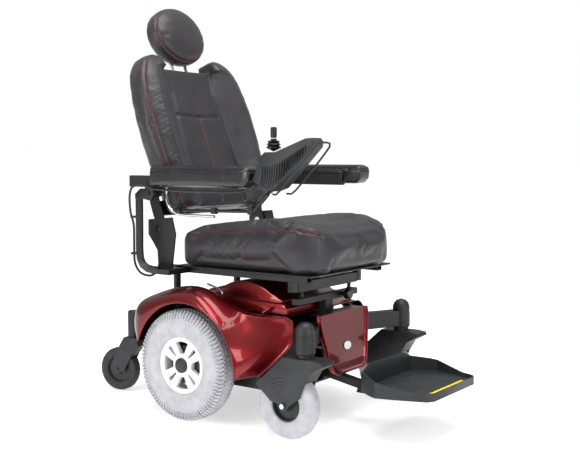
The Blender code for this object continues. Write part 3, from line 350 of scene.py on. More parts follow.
def sheath():
    """The smooth PVC sheath of a lead."""
    material, tree, shader, place = start_material("pvc_lead_sheath", "#17181A", 0.38)
    grain(tree, shader, place, 3.0, 0.2, 0.1)
    return material


GREY_RUBBER = grey_rubber()
BLACK_RUBBER = black_rubber()
SHEATH = sheath()
print("made", GREY_RUBBER.name, BLACK_RUBBER.name, SHEATH.name)


# %% Upholstery
def vinyl():
    """Embossed upholstery vinyl: a pebbled hide grain about 1.5 mm across, over slow soft rucks.

    The real grain is finer, and is drawn this coarse so that it shows. The sheen lifts the edges
    that turn away, as the plasticised surface does.
    """
    material, tree, shader, place = start_material(
        "embossed_black_vinyl", "#2C2A2D", 0.42, Sheen_Weight=0.06, Sheen_Roughness=0.4,
        Specular_IOR_Level=0.42)
    two_tone(tree, shader, place, 90, "#29272A", "#312F32")
    vary(tree, shader, place, 55, 0.34, 0.47)
    cells = add(tree, "ShaderNodeTexVoronoi", {"Vector": place}, feature="SMOOTH_F1", Scale=650.0)
    rucks = add(tree, "ShaderNodeTexNoise", {"Vector": place}, Scale=22.0, Detail=2.0)
    pebble = add(tree, "ShaderNodeBump", {"Height": cells.outputs["Distance"]}, Strength=0.30,
                 Distance=0.0004)
    soft = add(tree, "ShaderNodeBump", {"Height": rucks.outputs["Fac"],
                                        "Normal": pebble.outputs["Normal"]}, Strength=0.35,
               Distance=0.004)
    tree.links.new(soft.outputs["Normal"], shader.inputs["Normal"])
    return material


def skinned_foam():
    """Integral-skin polyurethane foam, the glossy black of an arm pad."""
    material, tree, shader, place = start_material("integral_skin_foam", "#18171A", 0.26,
                                                   Specular_IOR_Level=0.6)
    vary(tree, shader, place, 40, 0.20, 0.34)
    grain(tree, shader, place, 1.3, 0.25, 0.1)
    return material


def red_thread():
    """Bonded polyester thread for the double topstitching."""
    material, tree, shader, place = start_material("red_polyester_thread", "#7E1A22", 0.55)
    two_tone(tree, shader, place, 1.5, "#70161E", "#8E2029")
    return material


VINYL = vinyl()
FOAM_SKIN = skinned_foam()
THREAD = red_thread()
print("made", VINYL.name, FOAM_SKIN.name, THREAD.name)

# %% [markdown]
# ## Finishing the pieces that keep their own shape
# Frame tubes, forks, bolts and bars already have their true form. They come as loose triangles, so
# a Weld joins them and an Edge Split keeps the corners crisp while the round faces shade smoothly.

# %% Give every frame piece its finish
FINISHES = (
    (FRAME_BLACK, ("chassis", "front_frame", "gear_motor", "tilt_bar", "seat_frame", "back_frame",
                   "arm_post", "arm_tube", "joystick_slide", "joystick_guard", "foot_support")),
    (GREY_PLASTIC, ("battery_front", "battery_rear", "hub_cap", "caster_cap", "front_fork",
                    "front_rim", "rear_fork", "rear_rim", "joystick_housing", "foot_platform")),
    (BLACK_PLASTIC, ("seat_release_knob", "recline_lever", "joystick_knob", "joystick_boot")),
    (RED, ("body_shroud", "battery_cover", "front_cover")),
    (CHROME, ("freewheel_lever", "recline_bolt", "headrest_rod", "joystick_drop_bar")),
    (CASTING, ("power_controller",)), (AMBER, ("joystick_power_button",)),
    (GREY_RUBBER, ("drive_tyre", "front_tyre")), (BLACK_RUBBER, ("rear_tyre",)),
    (WHITE_RIM, ("drive_rim",)), (SHEATH, ("joystick_lead",)), (FOAM_SKIN, ("arm_pad",)),
    (VINYL, ("seat_cushion", "back_cushion", "headrest")),
)
finished = 0
for name, node in nodes.items():
    fits = [(len(start), coat) for coat, starts in FINISHES for start in starts
            if name.startswith(start)]
    coat = max(fits, key=lambda pair: pair[0])[1]
    node.data.materials.clear()
    node.data.materials.append(coat)
    node.data.shade_smooth()
    add_modifier(node, "WELD", merge_threshold=1e-5)
    add_modifier(node, "EDGE_SPLIT", split_angle=math.radians(35))
    finished += 1
print("finished", finished, "frame pieces")

# %% [markdown]
# ## Tyres
# The drive tyres are 14 inch pneumatic ones in grey rubber. A smooth carcass is spun from its
# section, then the tread is laid on it: short radial lugs round both shoulders, and three rows of
# small blocks, turned one way and the other, that read as a zigzag. Each block is a plain six-
# sided one, because hundreds of them are needed. The casters carry plain ribbed tyres, made in the
# same way.


# %% Carcass and tread blocks
SECTION = ((-0.78, 0.00), (-0.92, 0.05), (-0.985, 0.18), (-1.00, 0.36), (-0.985, 0.55),
           (-0.93, 0.72), (-0.82, 0.86), (-0.64, 0.945), (-0.40, 0.985), (-0.18, 1.00))


def carcass(centre, radius, width, bead, grooves=()):
    """A tyre section spun about X. Grooves are (share of the half width, depth) round the tread."""
    half = width / 2
    section = list(SECTION) + [(-x, r) for x, r in reversed(SECTION)]
    spots = [(x * half, bead + (radius - bead) * r) for x, r in section]
    for share, depth in grooves:
        spots += [(share * half - 0.0012, radius), (share * half, radius - depth),
                  (share * half + 0.0012, radius)]
    if grooves:
        side = [p for p in spots[:len(section)] if abs(p[0]) > half * 0.5]
        crown = sorted(spots[len(section):])
        spots = [p for p in side if p[0] < 0] + crown + [p for p in side if p[0] > 0]
    shape = bmesh.new()
    ring = [shape.verts.new((x, 0, r)) for x, r in spots]
    edges = [shape.edges.new(pair) for pair in zip(ring, ring[1:] + ring[:1])]
    bmesh.ops.spin(shape, geom=ring + edges, cent=(0, 0, 0), axis=(1, 0, 0), angle=math.tau,
                   steps=128, use_merge=True)
    outward(shape)
    bmesh.ops.translate(shape, vec=centre, verts=shape.verts)
    return shape


def lugs(centre, count, x, radius, size, yaw=0.0, tilt=0.0, start=0.0):
    """One block of rubber set on the shoulder or the crown, and copied round the axle by a spin."""
    shape = bmesh.new()
    place = (Matrix.Rotation(start, 4, "X") @ Matrix.Translation((x, 0, radius))
             @ Matrix.Rotation(tilt, 4, "Y") @ Matrix.Rotation(yaw, 4, "Z")
             @ Matrix.Diagonal((*size, 1)))
    block = bmesh.ops.create_cube(shape, size=1, matrix=place)["verts"]
    faces = list({face for vert in block for face in vert.link_faces})
    edges = list({edge for vert in block for edge in vert.link_edges})
    bmesh.ops.spin(shape, geom=block + edges + faces, cent=(0, 0, 0), axis=(1, 0, 0),
                   angle=math.tau * (count - 1) / count, steps=count - 1, use_duplicate=True)
    bmesh.ops.translate(shape, vec=centre, verts=shape.verts)
    return shape


for name, side in SIDES:
    low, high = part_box(f"drive_tyre_{name}")
    middle, radius, width = (low + high) / 2, (high.z - low.z) / 2, high.x - low.x
    step = math.tau / 84
    parts = [carcass(middle, radius - 0.0030, width, 0.0905)]
    for row, yaw in ((-1, 0.6), (0, -0.6), (1, 0.6)):
        parts.append(lugs(middle, 84, row * 0.0150, radius - 0.0038 - 0.0006 * abs(row),
                          (0.0125, 0.0060, 0.0062), yaw, 0.0, step * 0.5 * abs(row)))
    for edge in (-1, 1):
        parts.append(lugs(middle, 84, edge * width * 0.385, radius - 0.0095,
                          (0.0150, 0.0064, 0.0068), 0.25, edge * 0.60, step * 0.25))
        parts.append(lugs(middle, 84, edge * width * 0.468, radius - 0.0215,
                          (0.0130, 0.0046, 0.0044), 0.0, edge * 1.28, step * 0.25))
    put_on(f"drive_tyre_tread_{name}", join(*parts), GREY_RUBBER, f"drive_wheel_{name}",
           [f"drive_tyre_{name}"], 30)
    low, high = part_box(f"front_tyre_{name}")
    ribbed = carcass((low + high) / 2, (high.z - low.z) / 2, high.x - low.x, 0.0503,
                     ((-0.30, 0.0022), (0.0, 0.0022), (0.30, 0.0022)))
    put_on(f"front_tyre_tread_{name}", ribbed, GREY_RUBBER, f"front_wheel_{name}",
           [f"front_tyre_{name}"], 30)
print("drive tyre", [round(v, 3) for v in high - low], "m")

# %% [markdown]
# ## Shroud
# The red shroud is one moulding: it flares out over each drive wheel, rises to a crest, and falls
# to a deck that carries the battery cover. A grid is laid over sections taken along the side, one
# from each wheel arch to the crest and one across the deck, then mirrored, subdivided and given
# its wall.

# %% Sections of the shroud
ARCH = Vector((0.345, -0.012, 0.172))
ARCH_R = 0.208
SHROUD_SECTIONS = (  # arch angle, crest (x, y, z), deck edge (x, y, z) or nothing on the nose
    (18, (0.290, 0.205, 0.228), (0.200, 0.205, 0.228)),
    (30, (0.288, 0.236, 0.275), (0.200, 0.236, 0.275)),
    (42, (0.288, 0.238, 0.325), (0.200, 0.238, 0.325)),
    (54, (0.287, 0.214, 0.361), (0.198, 0.214, 0.345)),
    (66, (0.285, 0.165, 0.384), (0.196, 0.165, 0.355)),
    (78, (0.282, 0.110, 0.404), (0.195, 0.110, 0.362)),
    (90, (0.278, 0.050, 0.421), (0.195, 0.050, 0.365)),
    (102, (0.273, -0.010, 0.428), (0.195, -0.010, 0.360)),
    (114, (0.268, -0.065, 0.419), (0.195, -0.065, 0.352)),
    (126, (0.262, -0.120, 0.390), (0.195, -0.120, 0.345)),
    (138, (0.256, -0.170, 0.360), (0.195, -0.170, 0.345)),
    (150, (0.250, -0.215, 0.348), (0.195, -0.215, 0.345)),
    (160, (0.235, -0.262, 0.346), (0.190, -0.262, 0.345)),
    (168, (0.212, -0.310, 0.346), (0.180, -0.300, 0.345)),
    (173, (0.204, -0.332, 0.335), None),
    (176, (0.204, -0.338, 0.300), None),
    (179, (0.212, -0.335, 0.262), None),
    (181, (0.240, -0.300, 0.213), None),
    (183, (0.272, -0.258, 0.165), None),
)


def shroud_side(along, share):
    """A point of the painted side: along the sections, and from the arch lip to the crest."""
    lip_angle, *crest = between([(row[0], *row[1]) for row in SHROUD_SECTIONS], along)
    angle = math.radians(lip_angle)
    lip = Vector((ARCH.x, ARCH.y + ARCH_R * math.cos(angle), ARCH.z + ARCH_R * math.sin(angle)))
    crest = Vector(crest)
    swell = min(1.0, max(0.0, (150 - lip_angle) / 40))
    out = share * (1 - swell) + math.sin(share * math.pi / 2) * swell
    inward = (1 - (1 - share) ** 1.6) * (1 - swell) + (1 - math.cos(share * math.pi / 2)) * swell
    point = lip.lerp(crest, out)
    point.x = lip.x + (crest.x - lip.x) * inward
    return on_chair(*point)


# %% Lay the grids and give the shroud its wall
def side_grid():
    shape = bmesh.new()
    bmesh.ops.create_grid(shape, x_segments=36, y_segments=8, size=1)
    last = len(SHROUD_SECTIONS) - 1
    for vert in shape.verts:
        vert.co = shroud_side((vert.co.x + 1) / 2 * last, (vert.co.y + 1) / 2)
    return shape


def deck_grid():
    decked = [row for row in SHROUD_SECTIONS if row[2]]
    shape = bmesh.new()
    bmesh.ops.create_grid(shape, x_segments=26, y_segments=6, size=1)
    for vert in shape.verts:
        along = (vert.co.x + 1) / 2 * (len(decked) - 1)
        crest = Vector(between([row[1] for row in decked], along))
        edge = Vector(between([row[2] for row in decked], along))
        share = (vert.co.y + 1) / 2
        fall = share * 3 if share < 1 / 3 else 1
        point = crest.lerp(edge, fall)
        if share < 1 / 3:
            point.x = crest.x + (edge.x - crest.x) * fall
        else:
            point.x = edge.x * (1.5 - 1.5 * share)
        point.z = crest.z + (edge.z - crest.z) * (3 * fall ** 2 - 2 * fall ** 3)
        vert.co = on_chair(*point)
    return shape


shell = join(side_grid(), deck_grid())
bmesh.ops.mirror(shell, geom=shell.verts[:] + shell.edges[:] + shell.faces[:], axis="X",
                 merge_dist=1e-4)
bmesh.ops.remove_doubles(shell, verts=shell.verts, dist=2e-4)
bmesh.ops.recalc_face_normals(shell, faces=shell.faces)
if sum(face.normal.z * face.calc_area() for face in shell.faces) < 0:
    bmesh.ops.reverse_faces(shell, faces=shell.faces)
shroud = put_on("shroud_shell", shell, RED, "base", ["body_shroud"], 180)
add_modifier(shroud, "SOLIDIFY", thickness=0.004, offset=-1)
add_modifier(shroud, "SUBSURF", levels=2, render_levels=2)
print("shroud", len(shroud.data.polygons), "faces before subdivision")

# %% [markdown]
# ## Seat upholstery
# The cushions are foam in a sewn vinyl cover. Each starts from its plain solid, is remeshed evenly
# and is inflated a little as cloth, which rounds the faces and pulls the sides in between the
# corners. The seams are pressed in afterwards, because remeshing would lose them, and the red
# topstitching is laid along them, stitch by stitch.


# %% Inflate a cushion from its plain solid
def swollen(node, name, body, voxel, shrink, pressure, cap, smooth_steps, form=None):
    """A cushion cover swollen from a slightly smaller copy of its solid."""
    shape = bmesh.new()
    shape.from_mesh(nodes[node].data)
    outward(shape)
    mesh = bpy.data.meshes.new(name)
    shape.to_mesh(mesh)
    shape.free()
    piece = bpy.data.objects.new(name, mesh)
    bpy.context.scene.collection.objects.link(piece)
    add_modifier(piece, "REMESH", mode="VOXEL", voxel_size=voxel, use_smooth_shade=True)
    add_modifier(piece, "SMOOTH", factor=0.5, iterations=smooth_steps)
    apply_modifiers(piece)
    rest = [v.co - v.normal * shrink for v in piece.data.vertices]
    if form:
        rest = [form(spot) for spot in rest]
    piece.data.vertices.foreach_set("co", [value for spot in rest for value in spot])
    cloth = add_modifier(piece, "CLOTH")
    cloth.settings.quality = 4
    cloth.settings.mass = 0.4
    cloth.settings.use_pressure = True
    cloth.settings.uniform_pressure_force = pressure
    cloth.settings.effector_weights.gravity = 0
    cloth.point_cache.frame_start, cloth.point_cache.frame_end = 1, 20
    for step in range(1, 21):
        bpy.context.scene.frame_set(step)
    apply_modifiers(piece)
    bpy.context.scene.frame_set(1)
    for vert, spot in zip(piece.data.vertices, rest):
        move = vert.co - spot
        if move.length > cap:
            vert.co = spot + move * (cap / move.length)
    add_modifier(piece, "SUBSURF", levels=1, render_levels=1)
    apply_modifiers(piece)
    piece.data.materials.clear()
    piece.data.materials.append(VINYL)
    piece.data.shade_smooth()
    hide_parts(node)
    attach(piece, body)
    return piece


# %% Press a seam in, and sew along it
def surface_of(piece):
    shape = bmesh.new()
    shape.from_mesh(piece.data)
    tree = BVHTree.FromBMesh(shape)
    shape.free()
    return tree


def cast(tree, rays):
    """Where rays (start, direction) meet a surface, as (point, normal) pairs."""
    hits = [tree.ray_cast(Vector(start), Vector(aim).normalized()) for start, aim in rays]
    return [(hit[0], hit[1]) for hit in hits if hit[0] is not None]


def press(piece, path, depth, width):
    """Pushes the surface in along a path, as a seam does."""
    tree = KDTree(len(path))
    for i, (point, _) in enumerate(path):
        tree.insert(point, i)
    tree.balance()
    count = len(piece.data.vertices)
    spots, normals = np.empty(count * 3), np.empty(count * 3)
    piece.data.vertices.foreach_get("co", spots)
    piece.data.vertices.foreach_get("normal", normals)
    spots, normals = spots.reshape(-1, 3), normals.reshape(-1, 3)
    points = np.array([point for point, _ in path])
    low, high = points.min(axis=0) - width * 2.5, points.max(axis=0) + width * 2.5
    for i in np.nonzero(((spots > low) & (spots < high)).all(axis=1))[0]:
        gap = tree.find(spots[i])[2]
        if gap < width * 2.5:
            spots[i] -= normals[i] * depth * math.exp(-(gap / width) ** 2)
    piece.data.vertices.foreach_set("co", spots.ravel())
    piece.data.update()


def even(path, pitch):
    """Points at an even pitch along a path, each with its normal and direction."""
    points = [p for p, _ in path]
    steps = [(b - a).length for a, b in zip(points, points[1:])]
    ends = np.concatenate([[0], np.cumsum(steps)])
    spots = []
    for at in np.arange(pitch / 2, ends[-1], pitch):
        i = int(np.searchsorted(ends, at)) - 1
        share = (at - ends[i]) / max(steps[i], 1e-9)
        spots.append((points[i].lerp(points[i + 1], share), path[i][1],
                      (points[i + 1] - points[i]).normalized()))
    return spots


def sew(name, piece, body, path, offsets=(-0.006, 0.006), pitch=0.0085, thread=0.0008):
    """Rows of stitches beside a seam: small capsules that lie on the cover."""
    tree = surface_of(piece)
    stitches = []
    for offset in offsets:
        rays = [(point + normal.cross(along).normalized() * offset + normal * 0.02, -normal)
                for point, normal, along in even(path, 0.004)]
        for point, normal, along in even(cast(tree, rays), pitch):
            reach, lift = along * pitch * 0.42, normal * thread * 0.4
            stitches.append([(*(point - reach), 0.3), (*(point - reach * 0.6 + lift), 1),
                             (*(point + reach * 0.6 + lift), 1), (*(point + reach), 0.3)])
    put_on(name, tube(stitches, thread, 6), THREAD, body, angle=80)
    return len(stitches)


# %% Seat cushion
SEAT_HALF, SEAT_BACK, SEAT_NOSE = 0.255, 0.100, -0.462
TOP = ((-0.462, 0.622), (-0.420, 0.633), (-0.370, 0.640), (-0.310, 0.643), (-0.250, 0.642),
       (-0.180, 0.635), (-0.110, 0.627), (-0.040, 0.618), (0.040, 0.606), (0.100, 0.592))


def seat_top(y):
    return float(np.interp(y, *zip(*TOP)))


def dished(spot):
    """Hollows the top between the side rolls, and rolls the nose down."""
    x, y, z = spot.x, spot.y - AXLE.y, spot.z
    share = min(1.0, max(0.0, (z - 0.56) / 0.05))
    hollow = 0.016 * max(0.0, 1 - (x / 0.20) ** 2) * share * min(1.0, max(0.0, (y + 0.50) / 0.15))
    rise = min(1.0, max(0.0, (z - 0.485) / 0.150)) ** 3
    nose = min(1.0, max(0.0, (-0.30 - y) / 0.16))
    return Vector((x * (1 - 0.045 * rise), spot.y + 0.016 * rise * nose,
                   z - hollow - 0.008 * nose * rise))


seat = swollen("seat_cushion", "seat_cushion_cover", "seat", 0.006, 0.006, 4.0, 0.012, 8, dished)


def seat_seam(side):
    """Rays that find the seam of one side: from the rear corner along the top edge to the nose."""
    rays = []

    def corner(cx, cy, r, angle):
        away = Vector((math.cos(math.radians(angle)), math.sin(math.radians(angle)), 0))
        return Vector((cx, cy, 0)) + away * r, away

    edge = [corner(SEAT_HALF - 0.040, SEAT_BACK - 0.040, 0.040, a) for a in range(40, 0, -8)]
    edge += [(Vector((SEAT_HALF, y, 0)), Vector((1, 0, 0)))
             for y in np.arange(SEAT_BACK - 0.042, SEAT_NOSE + 0.112, -0.005)]
    edge += [corner(SEAT_HALF - 0.110, SEAT_NOSE + 0.110, 0.110, -a) for a in range(2, 67, 3)]
    for spot, away in edge:
        lean = (away + Vector((0, 0, 1))).normalized()
        rays.append((spot + Vector((0, 0, seat_top(spot.y))) + lean * 0.05, -lean))
    flip = Vector((side, 1, 1))
    return [(on_chair(*(start * flip)), aim * flip) for start, aim in rays]


count = 0
for name, side in SIDES:
    path = cast(surface_of(seat), seat_seam(side))
    press(seat, path, 0.0045, 0.0060)
    count += sew(f"seat_stitches_{name}", seat, "seat", path)
print("seat cushion", len(seat.data.vertices), "points,", count, "stitches")

# %% [markdown]
# ## Back cushion
# The back leans 20 degrees and is measured in its own frame: across, up along it, and out from its
# rear plate to the front. Two bolsters stand at the sides of a flat middle, which is sewn in
# panels: a cross seam at two thirds of the height, a middle seam below it, and one along each
# bolster.


# %% Back cushion
LEAN = math.radians(20)


def on_back(x, up, out):
    """A point in the back's own frame."""
    return on_chair(x, 0.161 + up * math.sin(LEAN) - out * math.cos(LEAN),
                    0.601 + up * math.cos(LEAN) + out * math.sin(LEAN))


FRONTWARD = (on_back(0, 0, 1) - on_back(0, 0, 0)).normalized()
HALF_WIDTHS = ((0.035, 0.225), (0.055, 0.246), (0.120, 0.2565), (0.170, 0.258), (0.205, 0.270),
               (0.290, 0.2765), (0.370, 0.2765), (0.440, 0.270), (0.500, 0.258), (0.545, 0.240),
               (0.600, 0.180))
back = swollen("back_cushion", "back_cushion_cover", "back", 0.006, 0.0055, 4.0, 0.0060, 7)


def back_line(points, slant=0.0):
    """Points every few millimetres along (across, up) corners, as rays onto the front."""
    rays = []
    for (x0, u0), (x1, u1) in zip(points, points[1:]):
        steps = max(2, int(math.hypot(x1 - x0, u1 - u0) / 0.004))
        for i in range(steps):
            x, up = x0 + (x1 - x0) * i / steps, u0 + (u1 - u0) * i / steps
            aim = FRONTWARD + Vector((slant, 0, 0))
            rays.append((on_back(x, up, 0.10) + aim.normalized() * 0.12, -aim))
    return rays


count = 0
for name, side in SIDES:
    crest = [(side * (half - 0.010), up) for up, half in HALF_WIDTHS[:-1]] + [(side * 0.196, 0.586)]
    path = cast(surface_of(back), back_line(crest, side * 0.9))
    press(back, path, 0.0045, 0.0060)
    count += sew(f"back_bolster_stitches_{name}", back, "back", path)
    inner = [(side * 0.118, 0.060), (side * 0.120, 0.200), (side * 0.112, 0.375),
             (side * 0.106, 0.460), (side * 0.118, 0.548)]
    press(back, cast(surface_of(back), back_line(inner)), 0.0090, 0.0065)
cross = cast(surface_of(back), back_line([(-0.110, 0.378), (0.0, 0.372), (0.110, 0.378)]))
press(back, cross, 0.0080, 0.0055)
spine = cast(surface_of(back), back_line([(0.0, 0.372), (0.0, 0.060)]))
press(back, spine, 0.0060, 0.0060)
count += sew("back_spine_stitches", back, "back", spine, offsets=(0.006,))
print("back cushion", len(back.data.vertices), "points,", count, "stitches")

# %% [markdown]
# ## Headrest
# A round pad with a band round it. Its front face is sewn to the band with a double row of red
# thread, so the seam is a ring at one depth.

# %% Headrest
head = swollen("headrest", "headrest_cover", "head_rest", 0.005, 0.003, 4.0, 0.006, 4)
ring = []
for i in range(181):
    angle = math.tau * i / 180
    away = on_back(math.cos(angle), math.sin(angle), 0) - on_back(0, 0, 0)
    ring.append((on_back(0, 0.675, 0.093) + away * 0.2, -away))
ring = cast(surface_of(head), ring)
press(head, ring, 0.0035, 0.0055)
count = sew("headrest_stitches", head, "head_rest", ring)
print("headrest", len(head.data.vertices), "points,", count, "stitches")

# %% [markdown]
# ## Arm pads
# Each pad is one block of foam that skins itself in the mould, so it is glossy, with soft corners
# and the mould's parting line round it a quarter of the way down.

# %% Arm pads
for name, side in SIDES:
    low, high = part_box(f"arm_pad_{name}")
    pad = swollen(f"arm_pad_{name}", f"arm_pad_skin_{name}", f"arm_{name}", 0.004, 0.0016, 3.0,
                  0.0022, 6)
    pad.data.materials[0] = FOAM_SKIN
    middle, level = (low + high) / 2, high.z - 0.017
    rays = []
    for i in range(240):
        angle = math.tau * i / 240
        away = Vector((math.cos(angle), math.sin(angle), 0))
        spot = Vector((middle.x, middle.y + away.y * (high.y - low.y) / 2 * 0.96, level))
        rays.append((spot + away * 0.10, -away))
    press(pad, cast(surface_of(pad), rays), 0.0018, 0.0022)
    print(pad.name, len(pad.data.vertices), "points")

# %% [markdown]
# ## Joystick
# The box has a row of cooling slots down its outer side, under a plain lid. The slots are thin dark
# ribs laid on the side, each a little bowed, shorter towards the nose. Their black is painted shade
# for the hollow of each slot.

# %% Cooling slots and indicator of the joystick
SLOTS, SLOT_RADIUS, SLOT_SHARE = 18, 0.0019, 0.66
LID = ((-0.470, 0.888), (-0.366, 0.8495), (-0.317, 0.840))
UNDER = ((-0.496, 0.862), (-0.370, 0.744), (-0.340, 0.734), (-0.308, 0.740))
# Each slot is a rib of black plastic on the side: painted shade for the hollow of the slot.
slot_shade_ribs = []
for y in np.linspace(-0.314, -0.462, SLOTS):
    high, low = np.interp(y, *zip(*LID)), np.interp(y, *zip(*UNDER)) + 0.006
    narrow = min(1.0, max(0.0, (-0.42 - y) / 0.08))
    x = -0.300 - 0.0352 * (1 - 0.30 * narrow)
    top = low + (high - low) * SLOT_SHARE
    slot_shade_ribs.append([(*on_chair(x, y - 0.003 * math.sin(math.pi * t) - 0.010 * t,
                             low + (top - low) * t), 1.0 if 0 < t < 1 else 0.5)
                  for t in (0, 0.2, 0.4, 0.6, 0.8, 1.0)])
put_on("joystick_slot_painted_shade", tube(slot_shade_ribs, SLOT_RADIUS, 8), BLACK_PLASTIC, "joystick")
marker = tube([smooth_line([on_chair(-0.286, -0.3215, 0.8475), on_chair(-0.286, -0.3175, 0.8395),
                            on_chair(-0.286, -0.3140, 0.8320)])], 0.0022)
put_on("joystick_indicator", marker, AMBER, "joystick")
print(len(slot_shade_ribs), "slot_shade_ribs")

# %% [markdown]
# ## Lead of the joystick
# The lead leaves the back of the box, runs under the arm tube, turns down beside the arm's pivot and
# is tied to the arm post. Then it loops under the seat. Its two stretches meet on the arm.

# %% Lead and ties
LEAD_RADIUS = 0.00375
ROUTE = ((-0.3392, -0.2990, 0.7520), (-0.3430, -0.2740, 0.7370), (-0.3410, -0.2200, 0.7300),
         (-0.3370, -0.1000, 0.7290), (-0.3350, 0.0000, 0.7295), (-0.3340, 0.0900, 0.7320),
         (-0.3350, 0.1250, 0.7340), (-0.3360, 0.1500, 0.7410), (-0.3360, 0.1720, 0.7450),
         (-0.3355, 0.1963, 0.7428), (-0.3345, 0.2170, 0.7330), (-0.3340, 0.2262, 0.7050),
         (-0.3310, 0.2260, 0.6580), (-0.3210, 0.2250, 0.6250), (-0.3180, 0.2240, 0.6000),
         (-0.3180, 0.2240, 0.5300), (-0.3180, 0.2200, 0.4860), (-0.3120, 0.2010, 0.4560),
         (-0.2960, 0.1760, 0.4470), (-0.2830, 0.1620, 0.4560), (-0.2800, 0.1500, 0.4750),
         (-0.2800, 0.1420, 0.4900))
front = [on_chair(*p) for p in smooth_line(ROUTE[:5])]
rear = [on_chair(*p) for p in smooth_line(ROUTE[4:])]
lead_front = put_on("joystick_lead_front", tube([front], LEAD_RADIUS, 12), SHEATH, None)
lead_rear = put_on("joystick_lead_rear", tube([rear], LEAD_RADIUS, 12), SHEATH, None)
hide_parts("joystick_lead_arm")
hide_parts("joystick_lead_post")
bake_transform(lead_front)
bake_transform(lead_rear)
ties = [[on_chair(-0.3165, 0.2190, z - 0.003), on_chair(-0.3165, 0.2190, z + 0.003)]
        for z in (0.640, 0.520)]
put_on("lead_ties", tube(ties, 0.0165, 16), BLACK_PLASTIC, "seat")
whole = front + rear
print("lead", round(sum((b - a).length for a, b in zip(whole, whole[1:])), 3), "m")

# %% [markdown]
# ## Red covers
# The lip of each wheel arch and the rim of the front cover are rolled over a bead, which catches
# the light as a bright line. The oval badge on the front cover is left plain.

# %% Beads, badge and latch
for name, side in SIDES:
    lip = [on_chair(side * (ARCH.x - 0.0015), ARCH.y + ARCH_R * math.cos(math.radians(a)),
                    ARCH.z + ARCH_R * math.sin(math.radians(a))) for a in range(18, 184, 3)]
    skirt = [on_chair(side * x, y, z) for x, y, z in smooth_line(
        [row[1] for row in reversed(SHROUD_SECTIONS[13:])])]
    put_on(f"arch_bead_{name}", tube([lip, skirt], 0.0030, 10), RED, "base")
    grip = tube([[on_chair(side * 0.206, -0.224, 0.3500), on_chair(side * 0.199, -0.246, 0.3660)]],
                0.0055, 10)
    put_on(f"cover_latch_{name}", grip, RED, "base")
COVER_SLOPE = 0.130  # how far the front cover leans back for each metre down
HALF_RIM = ((0.135, 0.345), (0.136, 0.325), (0.130, 0.290), (0.120, 0.257), (0.110, 0.215),
            (0.100, 0.180), (0.090, 0.165), (0.075, 0.157))
half_rim = smooth_line([on_chair(x, -0.3925 - COVER_SLOPE * (0.345 - z) - 0.0005, z)
                        for x, z in HALF_RIM])
rim_line = half_rim + [Vector((-p.x, p.y, p.z)) for p in reversed(half_rim)]
put_on("front_cover_rim", tube([rim_line], 0.0034, 10), RED, "base")


def plain_badge():
    material, tree, shader, place = start_material("white_badge_enamel", "#F0F0F0", 0.25)
    vary(tree, shader, place, 12, 0.2, 0.3)
    return material


plate = bmesh.new()
bmesh.ops.create_cone(plate, cap_ends=True, segments=48, radius1=1, radius2=0.93, depth=1,
                      matrix=Matrix.Diagonal((0.020, 0.0135, 0.0016, 1)))
slope = math.atan(COVER_SLOPE)
plate.transform(Matrix.Translation(on_chair(0, -0.4065, 0.237)) @ Matrix.Rotation(-slope, 4, "X")
                @ Matrix.Rotation(math.radians(90), 4, "X"))
put_on("front_cover_badge", plate, plain_badge(), "base")
print("beads, rim and badge")

# %% [markdown]
# ## Wheels, forks and foot board
# Bolt heads, rings and ribs are small, but they are what tells a moulding from a block.


# %% Small hardware
def bolt_head(at, radius, height, sides=6):
    """A bolt head or a disc that stands on a face across the chair."""
    shape = bmesh.new()
    turn = Matrix.Rotation(math.radians(90), 4, "Y")
    bmesh.ops.create_cone(shape, cap_ends=True, segments=sides, radius1=radius,
                          radius2=radius * 0.94, depth=height,
                          matrix=Matrix.Translation(at) @ turn)
    return shape


def zinc():
    """Bright zinc plate, with its faint cloudy passivation."""
    material, tree, shader, place = start_material("zinc_plated_steel", "#C9CACC", 0.28, 1.0)
    vary(tree, shader, place, 5, 0.22, 0.38)
    return material


